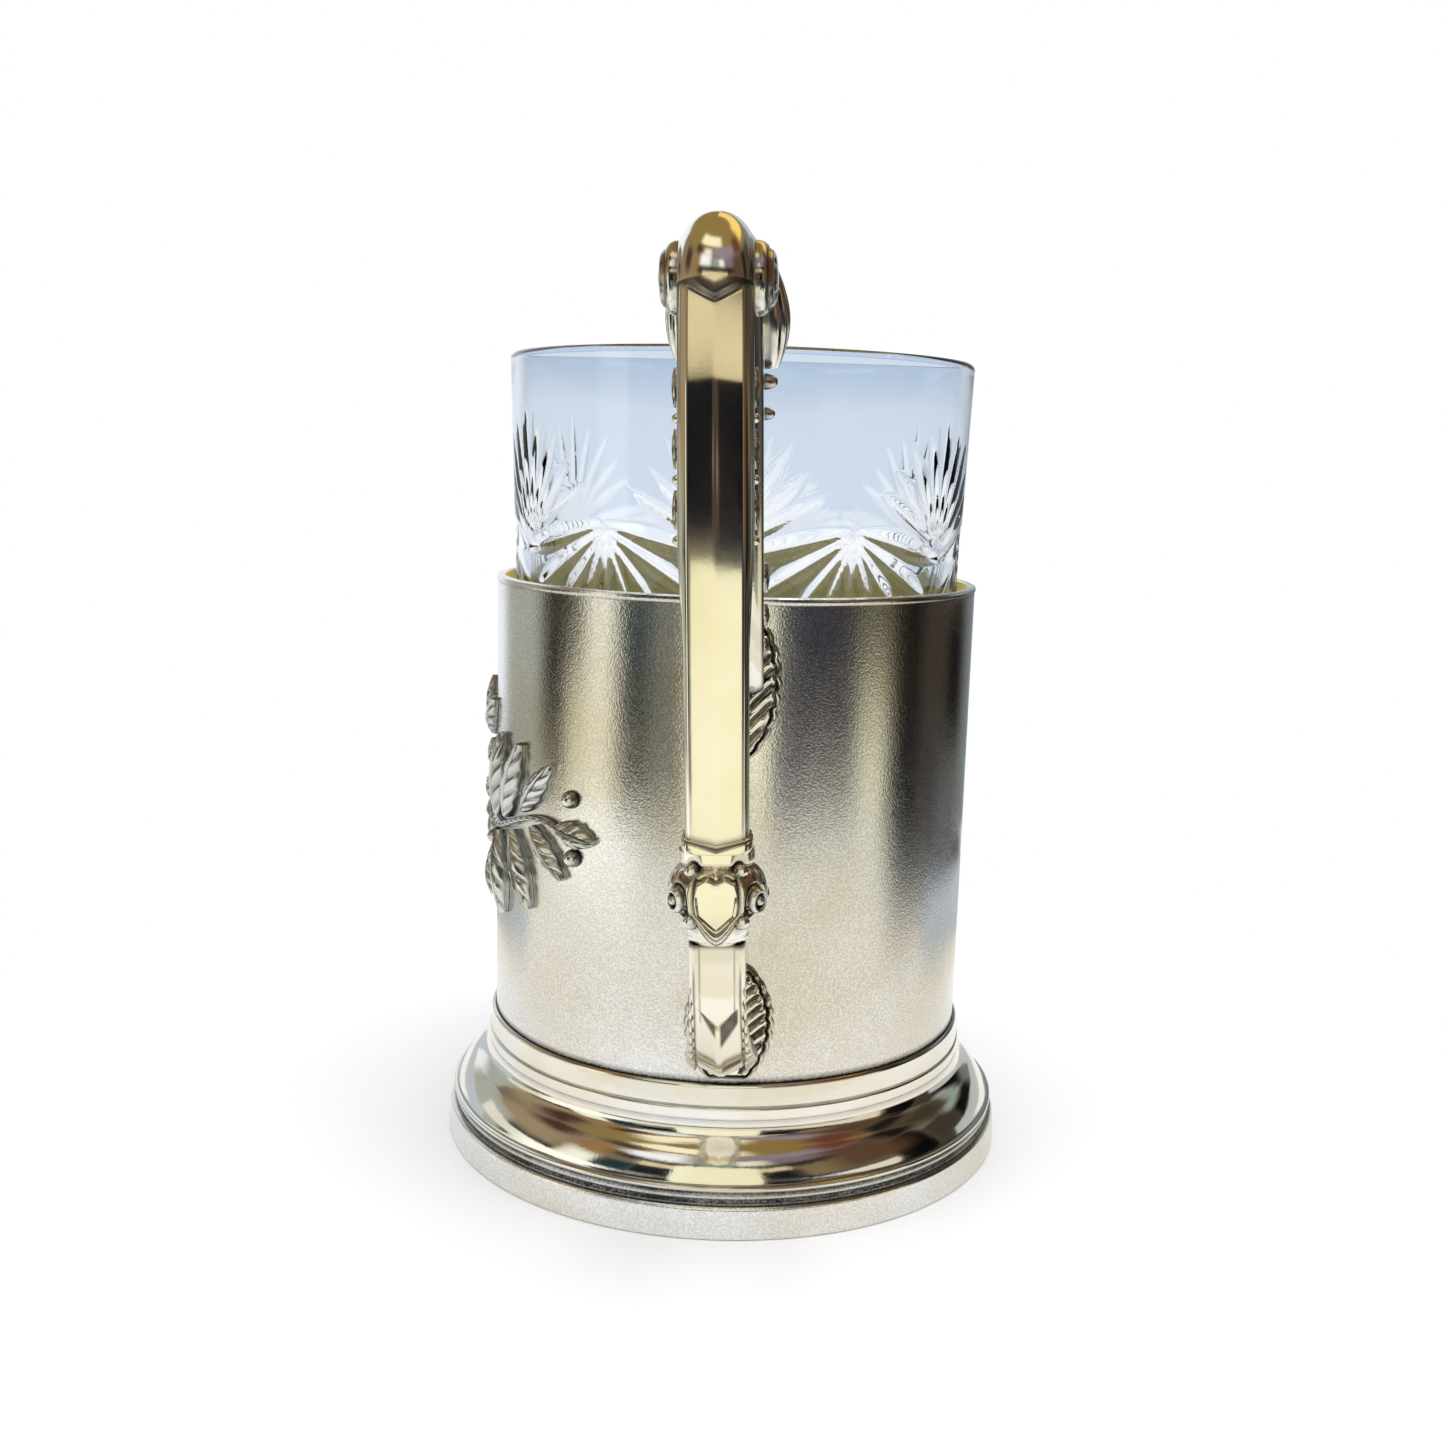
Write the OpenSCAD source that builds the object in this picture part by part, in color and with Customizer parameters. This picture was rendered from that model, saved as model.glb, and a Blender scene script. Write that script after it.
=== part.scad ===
// Tea glass holder: a turned silver sleeve on a spun foot, a cast ear handle,
// an applied flower spray, and a tapered crystal glass that lifts out.
// Millimetres. +Z is up, the table is z = 0, the handle points to -Y.

/* [Sleeve] */
// Outer diameter of the sleeve
sleeve_d = 70; // [66:1:76]
// Thickness of the sleeve's sheet
sleeve_wall = 1; // [0.8:0.1:1.3]
// Height of the sleeve's rim above the table
sleeve_top = 83.8; // [80:0.2:90]
// Height of the polished lip round the rim
lip_h = 0.9; // [0.6:0.1:1.2]
// How far the lip stands out of the sleeve
lip_out = 0.15; // [0.1:0.05:0.3]

/* [Foot] */
// Diameter over the foot's band
foot_d = 84; // [81:1:90]
// Height of the satin band that stands on the table
band_h = 4.5; // [3.8:0.1:5]
// Taper of the band from bottom to top
band_taper = 0.2; // [0:0.1:0.4]
// Height of the groove above the band
groove_h = 1.9; // [1.5:0.1:2.2]
// Depth of the groove
groove_depth = 1; // [0.6:0.1:1.2]
// Width of the band's ring, measured inwards
band_w = 3; // [2.6:0.1:3.6]
// How far the flare's edge stays back from the band's face
flare_back = 0.7; // [0.5:0.1:1]
// Height of the shoulder that carries the sleeve
shoulder_z = 14; // [13:0.2:15]
// Radius of the hollow curve under the shoulder
cove_r = 3.4; // [2.6:0.1:3.6]
// Thickness of the spun metal
spun_wall = 1.2; // [0.9:0.1:1.4]
// Height of the collar round the sleeve's lower end
collar_h = 4.9; // [4:0.1:5.6]
// How far the collar's lower edge stands out of the sleeve
collar_out = 0.9; // [0.8:0.05:1.1]
// Inset of the collar's upper edge
collar_taper = 0.35; // [0.1:0.05:0.45]
// Thickness of the floor that the glass stands on
floor_t = 1; // [0.8:0.1:1.6]

/* [Glass] */
// Gap between the glass's mouth and the sleeve's bore
mouth_clear = 0.6; // [0.4:0.1:3]
// Height of the mouth above the table
mouth_z = 115.1; // [104:0.5:122]
// How much smaller the radius of the glass is at its foot than at its mouth
glass_taper = 3.2; // [2:0.1:5]
// Thickness of the glass wall at the mouth
mouth_wall = 1.8; // [1.4:0.1:2.2]
// Thickness of the glass wall at the bottom
low_wall = 2.6; // [2:0.1:3.2]
// Thickness of the solid base of the glass
base_t = 6; // [4:0.5:8]
// Radius inside, where the wall meets the base
inner_round = 5; // [3:0.5:7]
// Depth of the hollow ground under the base
push_up = 0.8; // [0.4:0.1:1.2]
// Width of the ring that the glass stands on
stand_w = 5; // [4:0.5:7]
// Bevel at the foot of the glass
foot_bevel = 0.8; // [0.5:0.1:1.2]

/* [Handle] */
// Gap between the sleeve and the bar's centre at its lower end
bar_gap = 25; // [23:0.5:28]
// How far the bar bows outwards at half height
bar_bow = 1.8; // [0:0.2:3]
// How far the bar's top stands back from its lower end
bar_lean = 0.8; // [0:0.1:1.6]
// Width over the bar's two front facets
bar_w = 7; // [6.4:0.1:7.6]
// Width over the bar's sides at the top, where they are widest
bar_side_w = 8.4; // [8:0.1:9.2]
// Thickness of the bar at its lower end
bar_t = 6; // [5.4:0.1:6.6]
// Thickness of the bar where it meets the scroll
bar_top_t = 7.4; // [7:0.1:7.8]
// Height of the bar's lower end above the table
bar_z = 59.2; // [57:0.2:62]
// Height of the scroll's centre above the table
scroll_z = 119.2; // [112:0.1:124]
// Radius of the curl that the bar makes round the scroll
scroll_r = 5.2; // [5:0.1:5.6]
// Angle at which the handle leans to the left of the upright
handle_lean = 1.7; // [0:0.1:2]
// Height at which the leaning handle crosses the upright through the axis
lean_z = 48.5; // [40:0.5:60]
// Angle at which the curl meets the arm
scroll_turn = 164; // [150:1:172]
// Radius of the domed cheek on each side of the scroll
cheek_r = 5; // [4.4:0.1:5.4]
// How far a cheek stands out of the scroll's side
cheek_out = 2.4; // [1.8:0.1:2.8]
// Height on the sleeve where the arm is soldered
arm_z = 73; // [70:0.5:75]
// Thickness of the arm
arm_t = 5; // [4.4:0.1:5.4]
// Height of the collar under the bar
ferrule_h = 3; // [2.6:0.1:3.4]
// How far the collar stands out of the bar
ferrule_out = 0.9; // [0.6:0.1:1.2]
// Width of the knot
knot_w = 12.1; // [11.4:0.1:12.8]
// Height of the knot
knot_h = 9.4; // [8.8:0.1:10]
// Radius of the pearls let into the knot
pearl_r = 0.95; // [0.8:0.05:1.1]
// Radius of the scroll eyes on the knot's sides
eye_r = 1.6; // [1.4:0.05:1.7]
// Width of the lower leg
leg_w = 7; // [6.4:0.1:7.6]
// How much wider the leg grows above its foot
leg_flare = 2.2; // [0:0.1:2.6]
// Thickness of the lower leg
leg_t = 5.6; // [5:0.1:6.2]
// Height on the sleeve where the leg is soldered
leg_z = 26; // [25:0.2:27]

/* [Leaf plates] */
// Width of the upper leaf plate round the sleeve
upper_leaf_w = 12.8; // [12:0.2:16]
// Height of the upper leaf plate
upper_leaf_h = 18.6; // [17:0.2:19.6]
// Width of the lower leaf plate round the sleeve
lower_leaf_w = 10.8; // [10:0.2:12]
// Height of the lower leaf plate
lower_leaf_h = 12.4; // [12:0.1:12.8]
// Thickness of both leaf plates
leaf_t = 1.6; // [1.2:0.1:2]

/* [Spray] */
// Length of one side of the spray round the sleeve
spray_l = 37; // [33:0.5:40]
// Height of the whole ornament
spray_h = 34; // [30:0.5:38]
// Height of the ornament's middle above the table
spray_z = 51; // [47:0.5:54]
// How far the ornament stands out of the sleeve
spray_out = 2.2; // [1.6:0.1:2.6]
// Number of petals on the rosette
petals = 8; // [6:1:10]
// Radius of a berry
berry_r = 1.25; // [1:0.05:1.4]
// Depth of the veins on the leaves, as a share of their thickness
vein_share = 0.14; // [0.06:0.02:0.18]

/* [Hidden] */
$fn = 96;

// Thickness of a solder seam between two pieces
seam = 0.05;
// Overrun of every cut
overrun = 2;
// Gap between neighbouring leaves and stems
leaf_gap = 0.45;
// Clearance round the pearls that are let into the knot
let_in_gap = 0.15;

sleeve_r = sleeve_d / 2;
bore_r = sleeve_r - sleeve_wall;
mouth_r = bore_r - mouth_clear;
glass_foot_r = mouth_r - glass_taper;
foot_r = foot_d / 2;
floor_top = shoulder_z + floor_t;
groove_top = band_h + groove_h;
flare_r = foot_r - flare_back;
seat_r = sleeve_r + seam;

bar_u = sleeve_r + bar_gap;
bar_top_u = bar_u - bar_lean;
scroll_u = bar_top_u - scroll_r;
side_half = bar_side_w / 2;
front_half = bar_w / 2;
low_side_share = 1.05;
low_side = front_half * low_side_share;
knot_top = bar_z - ferrule_h;
knot_bottom = knot_top - knot_h;
arm_seat_r = seat_r + leaf_t + seam;

silver = "#c9c6bc";
warm_silver = "#d8cfb4";
dark_silver = "#8b8d90";
crystal = [0.85, 0.92, 0.98, 0.45];

// One value between two others
function mix(a, b, t) = a + (b - a) * t;

// Point and direction of a cubic curve through its four control points
function bezier(p, t) =
    p[0] * pow(1 - t, 3) + p[1] * 3 * t * pow(1 - t, 2)
    + p[2] * 3 * t * t * (1 - t) + p[3] * pow(t, 3);
function bezier_slope(p, t) =
    (p[1] - p[0]) * 3 * pow(1 - t, 2) + (p[2] - p[1]) * 6 * t * (1 - t)
    + (p[3] - p[2]) * 3 * t * t;
function unit(v) = v / norm(v);

// Points of an arc in a plane
function arc(centre, r, from, to, steps) = [
    for (i = [0:steps])
        centre + r * [cos(mix(from, to, i / steps)), sin(mix(from, to, i / steps))]
];

// A ring of section points [across, outwards] set square to a path in the handle's plane.
// centre and dir are [distance from the axis, height].
function handle_ring(centre, dir, section) = [
    for (q = section)
        [q[0], -(centre[0] + q[1] * dir[1]), centre[1] - q[1] * dir[0]]
];

// A point round the sleeve: along the wall, up the wall, and out of it
function on_sleeve(turn, along, up, out) =
    let (a = turn + along / sleeve_r * 180 / PI, r = seat_r + out)
    [r * sin(a), -r * cos(a), up];

// Six times the volume that faces enclose, by the sum of their corners' triple products
function six_volumes(points, faces) =
    let (parts = [
        for (f = faces, i = [1:len(f) - 2])
            points[f[0]] * cross(points[f[i]], points[f[i + 1]])
    ])
    parts * [for (v = parts) 1];

// Leans the children to the left, about the level where the handle crosses the upright
module leaned() {
    translate([0, 0, lean_z]) rotate([0, -handle_lean, 0]) translate([0, 0, -lean_z]) children();
}

// A closed skin over rings that have the same number of points each, faces turned outwards
module loft(rings) {
    n = len(rings[0]);
    last = len(rings) - 1;
    points = [for (r = rings) each r];
    sides = [
        for (i = [0:last - 1], j = [0:n - 1])
            each [
                [i * n + j, (i + 1) * n + j, i * n + (j + 1) % n],
                [i * n + (j + 1) % n, (i + 1) * n + j, (i + 1) * n + (j + 1) % n],
            ]
    ];
    caps = [
        for (j = [1:n - 2])
            each [[0, j, j + 1], [last * n, last * n + j + 1, last * n + j]]
    ];
    faces = concat(sides, caps);
    inside_out = six_volumes(points, faces) > 0;
    polyhedron(
        points = points,
        faces = inside_out ? [for (f = faces) [for (j = [len(f) - 1:-1:0]) f[j]]] : faces,
        convexity = 6
    );
}

// One half of the bar's section, from the ridge round to the back.
// Shares of the front half width, of the side half width, and of the thickness.
bar_shares = [
    [0, 0, 0.5], [0.9, 0, 0.38], [0.7, 0.3, 0.26], [0, 1, 0.1],
    [0, 1, -0.32], [0, 0.75, -0.46], [0, 0.3, -0.5],
];

// Both halves of a section, from the half's points
function mirrored(half) = concat(
    [for (q = half) [-q[0], q[1]]],
    [for (i = [len(half) - 1:-1:1]) half[i]]
);

// Two slanted facets that meet in a ridge, bevels, flat sides and back
function bar_section(front, side, t) =
    mirrored([for (q = bar_shares) [front * q[0] + side * q[1], t * q[2]]]);

// One half of the leg's section, from the channel's middle round to the back.
// Shares of the width, of the thickness, and of the channel's depth.
leg_shares = [
    [0, 0.5, 1], [0.2, 0.5, 0.8], [0.38, 0.5, 0], [0.48, 0.4, 0],
    [0.5, 0, 0], [0.44, -0.36, 0], [0.2, -0.5, 0],
];

// A channel between two raised edges
function leg_section(w, t, channel) =
    mirrored([for (q = leg_shares) [w * q[0], t * q[1] - channel * q[2]]]);

// Share of its height at which the bar starts to widen, and over which it does so
widen_shares = [0.35, 0.18];

// Centre and side half width of the bar at a share of its height
function bar_centre(t) =
    [mix(bar_u, bar_top_u, t) + bar_bow * sin(180 * t), mix(bar_z, scroll_z, t)];
function bar_side(t) =
    mix(low_side, side_half, min(1, max(0, (t - widen_shares[0]) / widen_shares[1])));

module handle_bar() {
    stations = 20;
    color(warm_silver) leaned()
        loft([
            for (i = [0:stations])
                let (t = i / stations)
                handle_ring(
                    bar_centre(t), [0, 1],
                    bar_section(front_half, bar_side(t), mix(bar_t, bar_top_t, pow(t, 3)))
                )
        ]);
}

// Curl at the top of the bar, which swells into a thumb rest
module thumb_scroll() {
    stations = 24;
    color(warm_silver) leaned()
        loft([
            for (i = [0:stations])
                let (
                    t = i / stations,
                    a = scroll_turn * t,
                    c = [scroll_u, scroll_z] + scroll_r * [cos(a), sin(a)],
                    thick = mix(bar_top_t, arm_t, pow(t, 3))
                )
                handle_ring(c, [-sin(a), cos(a)], bar_section(front_half, side_half, thick))
        ]);
}

// A turned dome with a flat back, on the level z = 0
module dome(r, out) {
    steps = 8;
    rotate_extrude()
        polygon(concat(
            [[0, 0], [r, 0]],
            [for (i = [1:steps]) [r * cos(i * 90 / steps), out * sin(i * 90 / steps)]]
        ));
}

// Domes on both side faces of the handle, at [distance from the axis, height]
module side_domes(place, r, out) {
    for (s = [-1, 1])
        translate([s * (side_half + seam), -place[0], place[1]])
            rotate([0, s * 90, 0])
                dome(r, out);
}

// Domed cheek on each side of the curl
module scroll_cheeks() {
    color(silver) leaned() side_domes([scroll_u, scroll_z], cheek_r, cheek_out);
}

// Arm from the sleeve up to the curl
arm_end = [scroll_u, scroll_z] + scroll_r * [cos(scroll_turn), sin(scroll_turn)];
arm_end_dir = [sin(scroll_turn), -cos(scroll_turn)];
arm_rise = scroll_z - arm_z;
arm_root_shares = [0.17, 0.02];
arm_top_share = 0.5;
arm_path = [
    [sleeve_r, arm_z],
    [sleeve_r, arm_z] + arm_rise * arm_root_shares,
    arm_end - arm_end_dir * arm_rise * arm_top_share,
    arm_end,
];

module handle_arm() {
    stations = 20;
    color(silver)
        difference() {
            leaned() loft([
                for (i = [0:stations])
                    let (t = i / stations)
                    handle_ring(
                        bezier(arm_path, t), -unit(bezier_slope(arm_path, t)),
                        bar_section(front_half, side_half, arm_t)
                    )
            ]);
            translate([0, 0, arm_z - arm_rise])
                cylinder(r = arm_seat_r, h = arm_rise * 2);
        }
}

// Shares of a leaf's outline: width at the tips, thickness at the tips, fall to the edges
leaf_tip_share = 0.12;
leaf_low_share = 0.3;
leaf_fall_share = 0.58;

// Half width and thickness of a leaf at a share of its length, each as a share of the largest
function leaf_wide(t, tip, power) = mix(tip, 1, pow(sin(180 * mix(0.03, 0.97, t)), power));
function leaf_thick(t, low) = mix(low, 1, sin(180 * mix(0.12, 0.88, t)));

// A flat-backed leaf on a side face: from and to are [distance from the axis, height]
module side_leaf(from, to, w, rise, ribs) {
    stations = 7;
    axis = unit(to - from);
    square_to = [-axis[1], axis[0]];
    long = norm(to - from);
    loft([
        for (i = [0:stations])
            let (
                t = i / stations,
                half = w / 2 * leaf_wide(t, leaf_tip_share, 0.8),
                top = rise * leaf_thick(t, leaf_low_share),
                c = from + axis * long * t,
                ring = [
                    for (k = [-1, 1]) [k * half, 0],
                    for (k = [1:-1 / ribs:-1])
                        let (vein = 1 + vein_share * cos(180 * k * ribs))
                        [k * half, top * (1 - leaf_fall_share * k * k) * vein]
                ]
            )
            [
                for (q = ring)
                    let (p = c + square_to * q[0])
                    [side_half + seam + q[1], -p[0], p[1]]
            ]
    ]);
}

module side_leaves(from, to, w, rise, ribs) {
    side_leaf(from, to, w, rise, ribs);
    mirror([1, 0, 0]) side_leaf(from, to, w, rise, ribs);
}

// Big grooved leaves behind the thumb rest
module thumb_leaves() {
    ends = [0.95, 0.7];
    back_share = -0.34;
    w_share = 0.92;
    back = [arm_t * back_share, 0];
    color(silver) leaned()
        side_leaves(
            bezier(arm_path, ends[0]) + back, bezier(arm_path, ends[1]) + back,
            arm_t * w_share, cheek_out, 6
        );
}

// Beads and long leaves down both sides of the bar, a little behind its middle
module bar_garland() {
    bead_shares = [0.55, 0.66, 0.77];
    leaf_shares = [0.605, 0.715, 0.825];
    half_leaf_share = 0.036;
    back_share = -0.12;
    bead_share = 0.6;
    leaf_w_share = 1.9;
    bead_r = pearl_r * bead_share;
    back = [bar_t * back_share, 0];
    color(silver) leaned() {
        for (t = bead_shares)
            side_domes(bar_centre(t) + back, bead_r, bead_r);
        for (t = leaf_shares)
            side_leaves(
                bar_centre(t - half_leaf_share) + back, bar_centre(t + half_leaf_share) + back,
                bead_r * leaf_w_share, bead_r, 3
            );
    }
}

// Berries and small leaves down both sides of the arm
module arm_garland() {
    // Place on the arm and share of the full size
    berries = [[0.655, 1], [0.595, 0.8]];
    leaf_shares = [0.26, 0.36, 0.46];
    half_leaf_share = 0.035;
    leaf_w_share = 0.4;
    leaf_rise_share = 0.7;
    berry_out_share = 1.7;
    color(silver) leaned() {
        for (q = berries)
            side_domes(bezier(arm_path, q[0]), pearl_r * q[1], pearl_r * berry_out_share * q[1]);
        for (t = leaf_shares)
            side_leaves(
                bezier(arm_path, t + half_leaf_share), bezier(arm_path, t - half_leaf_share),
                arm_t * leaf_w_share, pearl_r * leaf_rise_share, 3
            );
    }
}

// Collar between the bar and the knot
module handle_ferrule() {
    height_shares = [0, 0.25, 0.5, 0.8, 1];
    out_shares = [0.7, 1, 0.9, 0.85, 0.35];
    color(silver) leaned()
        loft([
            for (i = [0:len(height_shares) - 1])
                let (grow = ferrule_out * out_shares[i])
                handle_ring(
                    [bar_u, knot_top + ferrule_h * height_shares[i]], [0, 1],
                    bar_section(front_half + grow, low_side + grow, bar_t + 2 * grow)
                )
        ]);
}

// Half width of the knot's turned outline at a share of its height
pinch_share = 0.86;
function knot_half(z_share) =
    knot_w / 2 * sqrt(max(0, 1 - pow(abs(2 * z_share - 1) * pinch_share, 2.4)));

// Places on the knot: turn from the front and share of the height
pearl_places = [for (turn = [-44, 44], z_share = [0.22, 0.8]) [turn, z_share]];
eye_places = [for (turn = [-114, -68, 68, 114]) [turn, 0.5]];
let_in_share = 0.55;
eye_seat_share = 0.03;
stand_share = 1.25;

// Sets children on the knot's skin, facing outwards, let in by a depth
module on_knot(place, depth) {
    translate([0, -bar_u, mix(knot_bottom, knot_top, place[1])])
        rotate([0, 0, place[0]])
            translate([0, depth - knot_half(place[1]), 0])
                rotate([90, 0, 0])
                    children();
}

module handle_knot() {
    steps = 14;
    shield_share = 0.035;
    shield = knot_w * shield_share;
    color(warm_silver) leaned()
        difference() {
            translate([0, -bar_u, knot_bottom])
                rotate_extrude()
                    polygon(concat(
                        [[0, 0]],
                        [for (i = [0:steps]) [knot_half(i / steps), knot_h * i / steps]],
                        [[0, knot_h]]
                    ));
            translate([-knot_w / 2, -bar_u - knot_w / 2 - overrun, knot_bottom - overrun])
                cube([knot_w, overrun + shield, knot_h + 2 * overrun]);
            for (p = pearl_places)
                on_knot(p, pearl_r * let_in_share) cylinder(r = pearl_r + let_in_gap, h = overrun);
            for (p = eye_places)
                on_knot(p, knot_w * eye_seat_share)
                    translate([-knot_w / 2, -knot_h / 2, 0])
                        cube([knot_w, knot_h, overrun]);
        }
}

module knot_pearls() {
    color(silver) leaned()
        for (p = pearl_places)
            on_knot(p, pearl_r * let_in_share - seam) dome(pearl_r, pearl_r * stand_share);
}

module knot_eyes() {
    color(dark_silver) leaned()
        for (p = eye_places)
            on_knot(p, knot_w * eye_seat_share - seam) dome(eye_r, eye_r);
}

// Leg from the knot back to the sleeve
leg_drop = knot_bottom - leg_z;
leg_bend_share = 0.62;
channel_share = 0.1;
leg_path = [
    [bar_u, knot_bottom],
    [bar_u, knot_bottom - leg_drop * leg_bend_share],
    [sleeve_r + bar_gap * leg_bend_share, leg_z],
    [sleeve_r, leg_z],
];

// Width of the leg at a share of its path: it swells above its foot and narrows to it
flare_shares = [0.3, 0.72, 1.05];
function leg_wide(t) =
    leg_w + leg_flare * (
        t < flare_shares[1]
        ? pow(max(0, (t - flare_shares[0]) / (flare_shares[1] - flare_shares[0])), 1.5)
        : 1 - pow((t - flare_shares[1]) / (flare_shares[2] - flare_shares[1]), 2)
    );

module handle_leg() {
    stations = 18;
    color(warm_silver)
        difference() {
            leaned() loft([
                for (i = [0:stations])
                    let (t = i / stations)
                    handle_ring(
                        bezier(leg_path, t), -unit(bezier_slope(leg_path, t)),
                        leg_section(leg_wide(t), leg_t, leg_w * channel_share)
                    )
            ]);
            translate([0, 0, leg_z - leg_t])
                cylinder(r = arm_seat_r, h = leg_t * 2);
        }
}

// A leaf that lies on the sleeve. turn is its middle, start and end are [along, up] on the wall.
module wall_leaf(turn, start, end, w, rise) {
    stations = 7;
    across_shares = [1, 0.7, 0.35, 0, -0.35, -0.7, -1];
    veins_across = 1.43;
    axis = unit(end - start);
    square_to = [-axis[1], axis[0]];
    long = norm(end - start);
    loft([
        for (i = [0:stations])
            let (
                t = i / stations,
                half = w / 2 * leaf_wide(t, leaf_tip_share, 0.85),
                top = rise * leaf_thick(t, leaf_low_share),
                c = start + axis * long * t,
                ring = [
                    for (k = [-1, 0, 1]) [k * half, 0],
                    for (k = across_shares)
                        let (vein = 1 + vein_share * cos(360 * k * veins_across))
                        [k * half, top * (1 - leaf_fall_share * k * k) * vein]
                ]
            )
            [for (q = ring) let (p = c + square_to * q[0]) on_sleeve(turn, p[0], p[1], q[1])]
    ]);
}

// An oval leaf plate with a raised border, a flat boss for the handle, and side veins
module leaf_plate(middle_z, w, h) {
    stations = 16;
    vein_count = 5;
    plate_tip_share = 0.14;
    // Place across the plate, thickness there, and whether the veins run there
    across = [[1, 0.5, 0], [0.9, 0.8, 0], [0.78, 0.55, 1], [0.66, 0.55, 1], [0.5, 1, 0], [0.25, 1, 0]];
    back_half = [for (i = [len(across) - 1:-1:0]) let (q = across[i]) [-q[0], q[1], q[2]]];
    whole = concat(across, [[0, 1, 0]], back_half);
    loft([
        for (i = [0:stations])
            let (
                t = i / stations,
                half = w / 2 * leaf_wide(t, plate_tip_share, 0.62),
                z = middle_z + h * (t - 0.5),
                vein = vein_share * cos(360 * t * vein_count),
                ring = [
                    for (k = [-1:0.25:1]) [k * half, 0],
                    for (q = whole) [q[0] * half, leaf_t * (q[1] + vein * q[2])]
                ]
            )
            [for (q = ring) on_sleeve(0, q[0], z, q[1])]
    ]);
}

module upper_leaf_plate() {
    color(silver) leaf_plate(arm_z, upper_leaf_w, upper_leaf_h);
}

module lower_leaf_plate() {
    color(silver) leaf_plate(leg_z, lower_leaf_w, lower_leaf_h);
}

// Ornament: its middle is a quarter turn clockwise from the handle, seen from above
spray_turn = -90;
rosette_share = 0.25;
boss_share = 0.3;
rosette_r = spray_h * rosette_share;
boss_r = rosette_r * boss_share;
spray_half = spray_h / 2;
low_rise_share = 0.8;
low_rise = spray_out * low_rise_share;

// Point of the ornament from shares of its half length and half height
function spray_point(q) = [spray_l * q[0], spray_half * q[1]];

module rosette_petals() {
    root_share = 1.35;
    petal_w_share = 1.25;
    color(dark_silver)
        for (i = [0:petals - 1])
            let (a = 360 * (i + 0.5) / petals, d = [cos(a), sin(a)], c = [0, spray_z])
            wall_leaf(
                spray_turn, c + d * boss_r * root_share, c + d * rosette_r,
                rosette_r * sin(180 / petals) * petal_w_share, low_rise
            );
}

module rosette_boss() {
    color(silver)
        difference() {
            rotate([0, 0, spray_turn])
                translate([0, -seat_r - spray_out + boss_r, spray_z])
                    sphere(r = boss_r);
            cylinder(r = seat_r, h = sleeve_top);
        }
}

// Stems and leaves of one side: s is 1 for the side towards the handle
stem_shares = [[0.255, -0.07], [0.42, -0.33], [0.61, 0.15], [0.81, 0.02]];
stem_path = [for (q = stem_shares) spray_point(q)];
stem_w_share = 0.6;
stem_w = spray_out * stem_w_share;
leaf_clear = stem_w / 2 + leaf_gap;

// Point beside the stem, at a share of its length and a distance off its middle
function stem_side(s, t, off) =
    let (p = bezier(stem_path, t), d = unit(bezier_slope(stem_path, t)))
    [s * (p[0] - d[1] * off), spray_z + p[1] + d[0] * off];

module spray_stems() {
    stations = 12;
    thin_share = 0.6;
    // Section of the stem: shares of its half width and of its rise
    section_shares = [[-1, 0], [0, 0], [1, 0], [0.7, 0.8], [0, 1], [-0.7, 0.8]];
    color(dark_silver)
        for (s = [-1, 1])
            loft([
                for (i = [0:stations])
                    let (t = i / stations, half = stem_w / 2 * mix(1, thin_share, t))
                    [
                        for (q = section_shares)
                            let (p = stem_side(s, t, q[0] * half))
                            on_sleeve(spray_turn, p[0], p[1], q[1] * stem_w)
                    ]
            ]);
}

// Place on the stem, side of the stem, angle from level, and length as a share of the half height
stem_leaves = [
    [0.18, 1, 80, 0.73], [0.43, 1, 68, 0.7], [0.7, 1, 50, 0.57],
    [0.22, -1, 78, 0.7], [0.5, -1, 64, 0.67], [0.78, -1, 44, 0.53],
];
leaf_w_share = 0.36;
end_leaf_w_share = 0.22;
end_drop_share = 0.33;

module spray_leaves() {
    end_leaf_w = spray_half * end_leaf_w_share;
    end_drop = end_leaf_w * end_drop_share;
    color(dark_silver)
        for (s = [-1, 1]) {
            for (q = stem_leaves)
                let (
                    long = spray_half * q[3],
                    from = stem_side(s, q[0], q[1] * leaf_clear),
                    to = from + long * [s * cos(q[2]), q[1] * sin(q[2])]
                )
                wall_leaf(spray_turn, from, to, long * leaf_w_share, spray_out);
            let (from = stem_side(s, 1, 0) + [s * leaf_gap, 0], to = [s * spray_l, from[1] - end_drop])
                wall_leaf(spray_turn, from, to, end_leaf_w, spray_out);
        }
}

// Leaf buds above and below the rosette
module spray_finials() {
    bud_w_share = 0.6;
    side_w_share = 0.42;
    // Side buds: shares of the rosette's radius, and of the ornament's half height at the tip
    side_root_shares = [0.47, 1.05];
    side_tip_shares = [0.97, 0.86];
    color(dark_silver)
        for (s = [-1, 1]) {
            wall_leaf(
                spray_turn, [0, spray_z + s * (rosette_r + leaf_gap)], [0, spray_z + s * spray_half],
                rosette_r * bud_w_share, spray_out
            );
            for (k = [-1, 1])
                wall_leaf(
                    spray_turn,
                    [k * rosette_r * side_root_shares[0], spray_z + s * rosette_r * side_root_shares[1]],
                    [k * rosette_r * side_tip_shares[0], spray_z + s * spray_half * side_tip_shares[1]],
                    rosette_r * side_w_share, low_rise
                );
        }
}

module spray_berries() {
    // Shares of the ornament's half length and half height
    berry_shares = [
        [0.267, 0.18], [0.276, 0.38], [0.26, -0.32], [0.286, -0.51], [0.886, 0.26], [0.9, -0.21],
    ];
    out_share = 1.3;
    color(silver)
        for (s = [-1, 1], q = berry_shares)
            let (p = spray_point(q), turn = spray_turn + s * p[0] / sleeve_r * 180 / PI)
            rotate([0, 0, turn])
                translate([0, -seat_r, spray_z + p[1]])
                    rotate([90, 0, 0])
                        dome(berry_r, berry_r * out_share);
}

module turned(outline) {
    rotate_extrude() polygon(outline);
}

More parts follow.
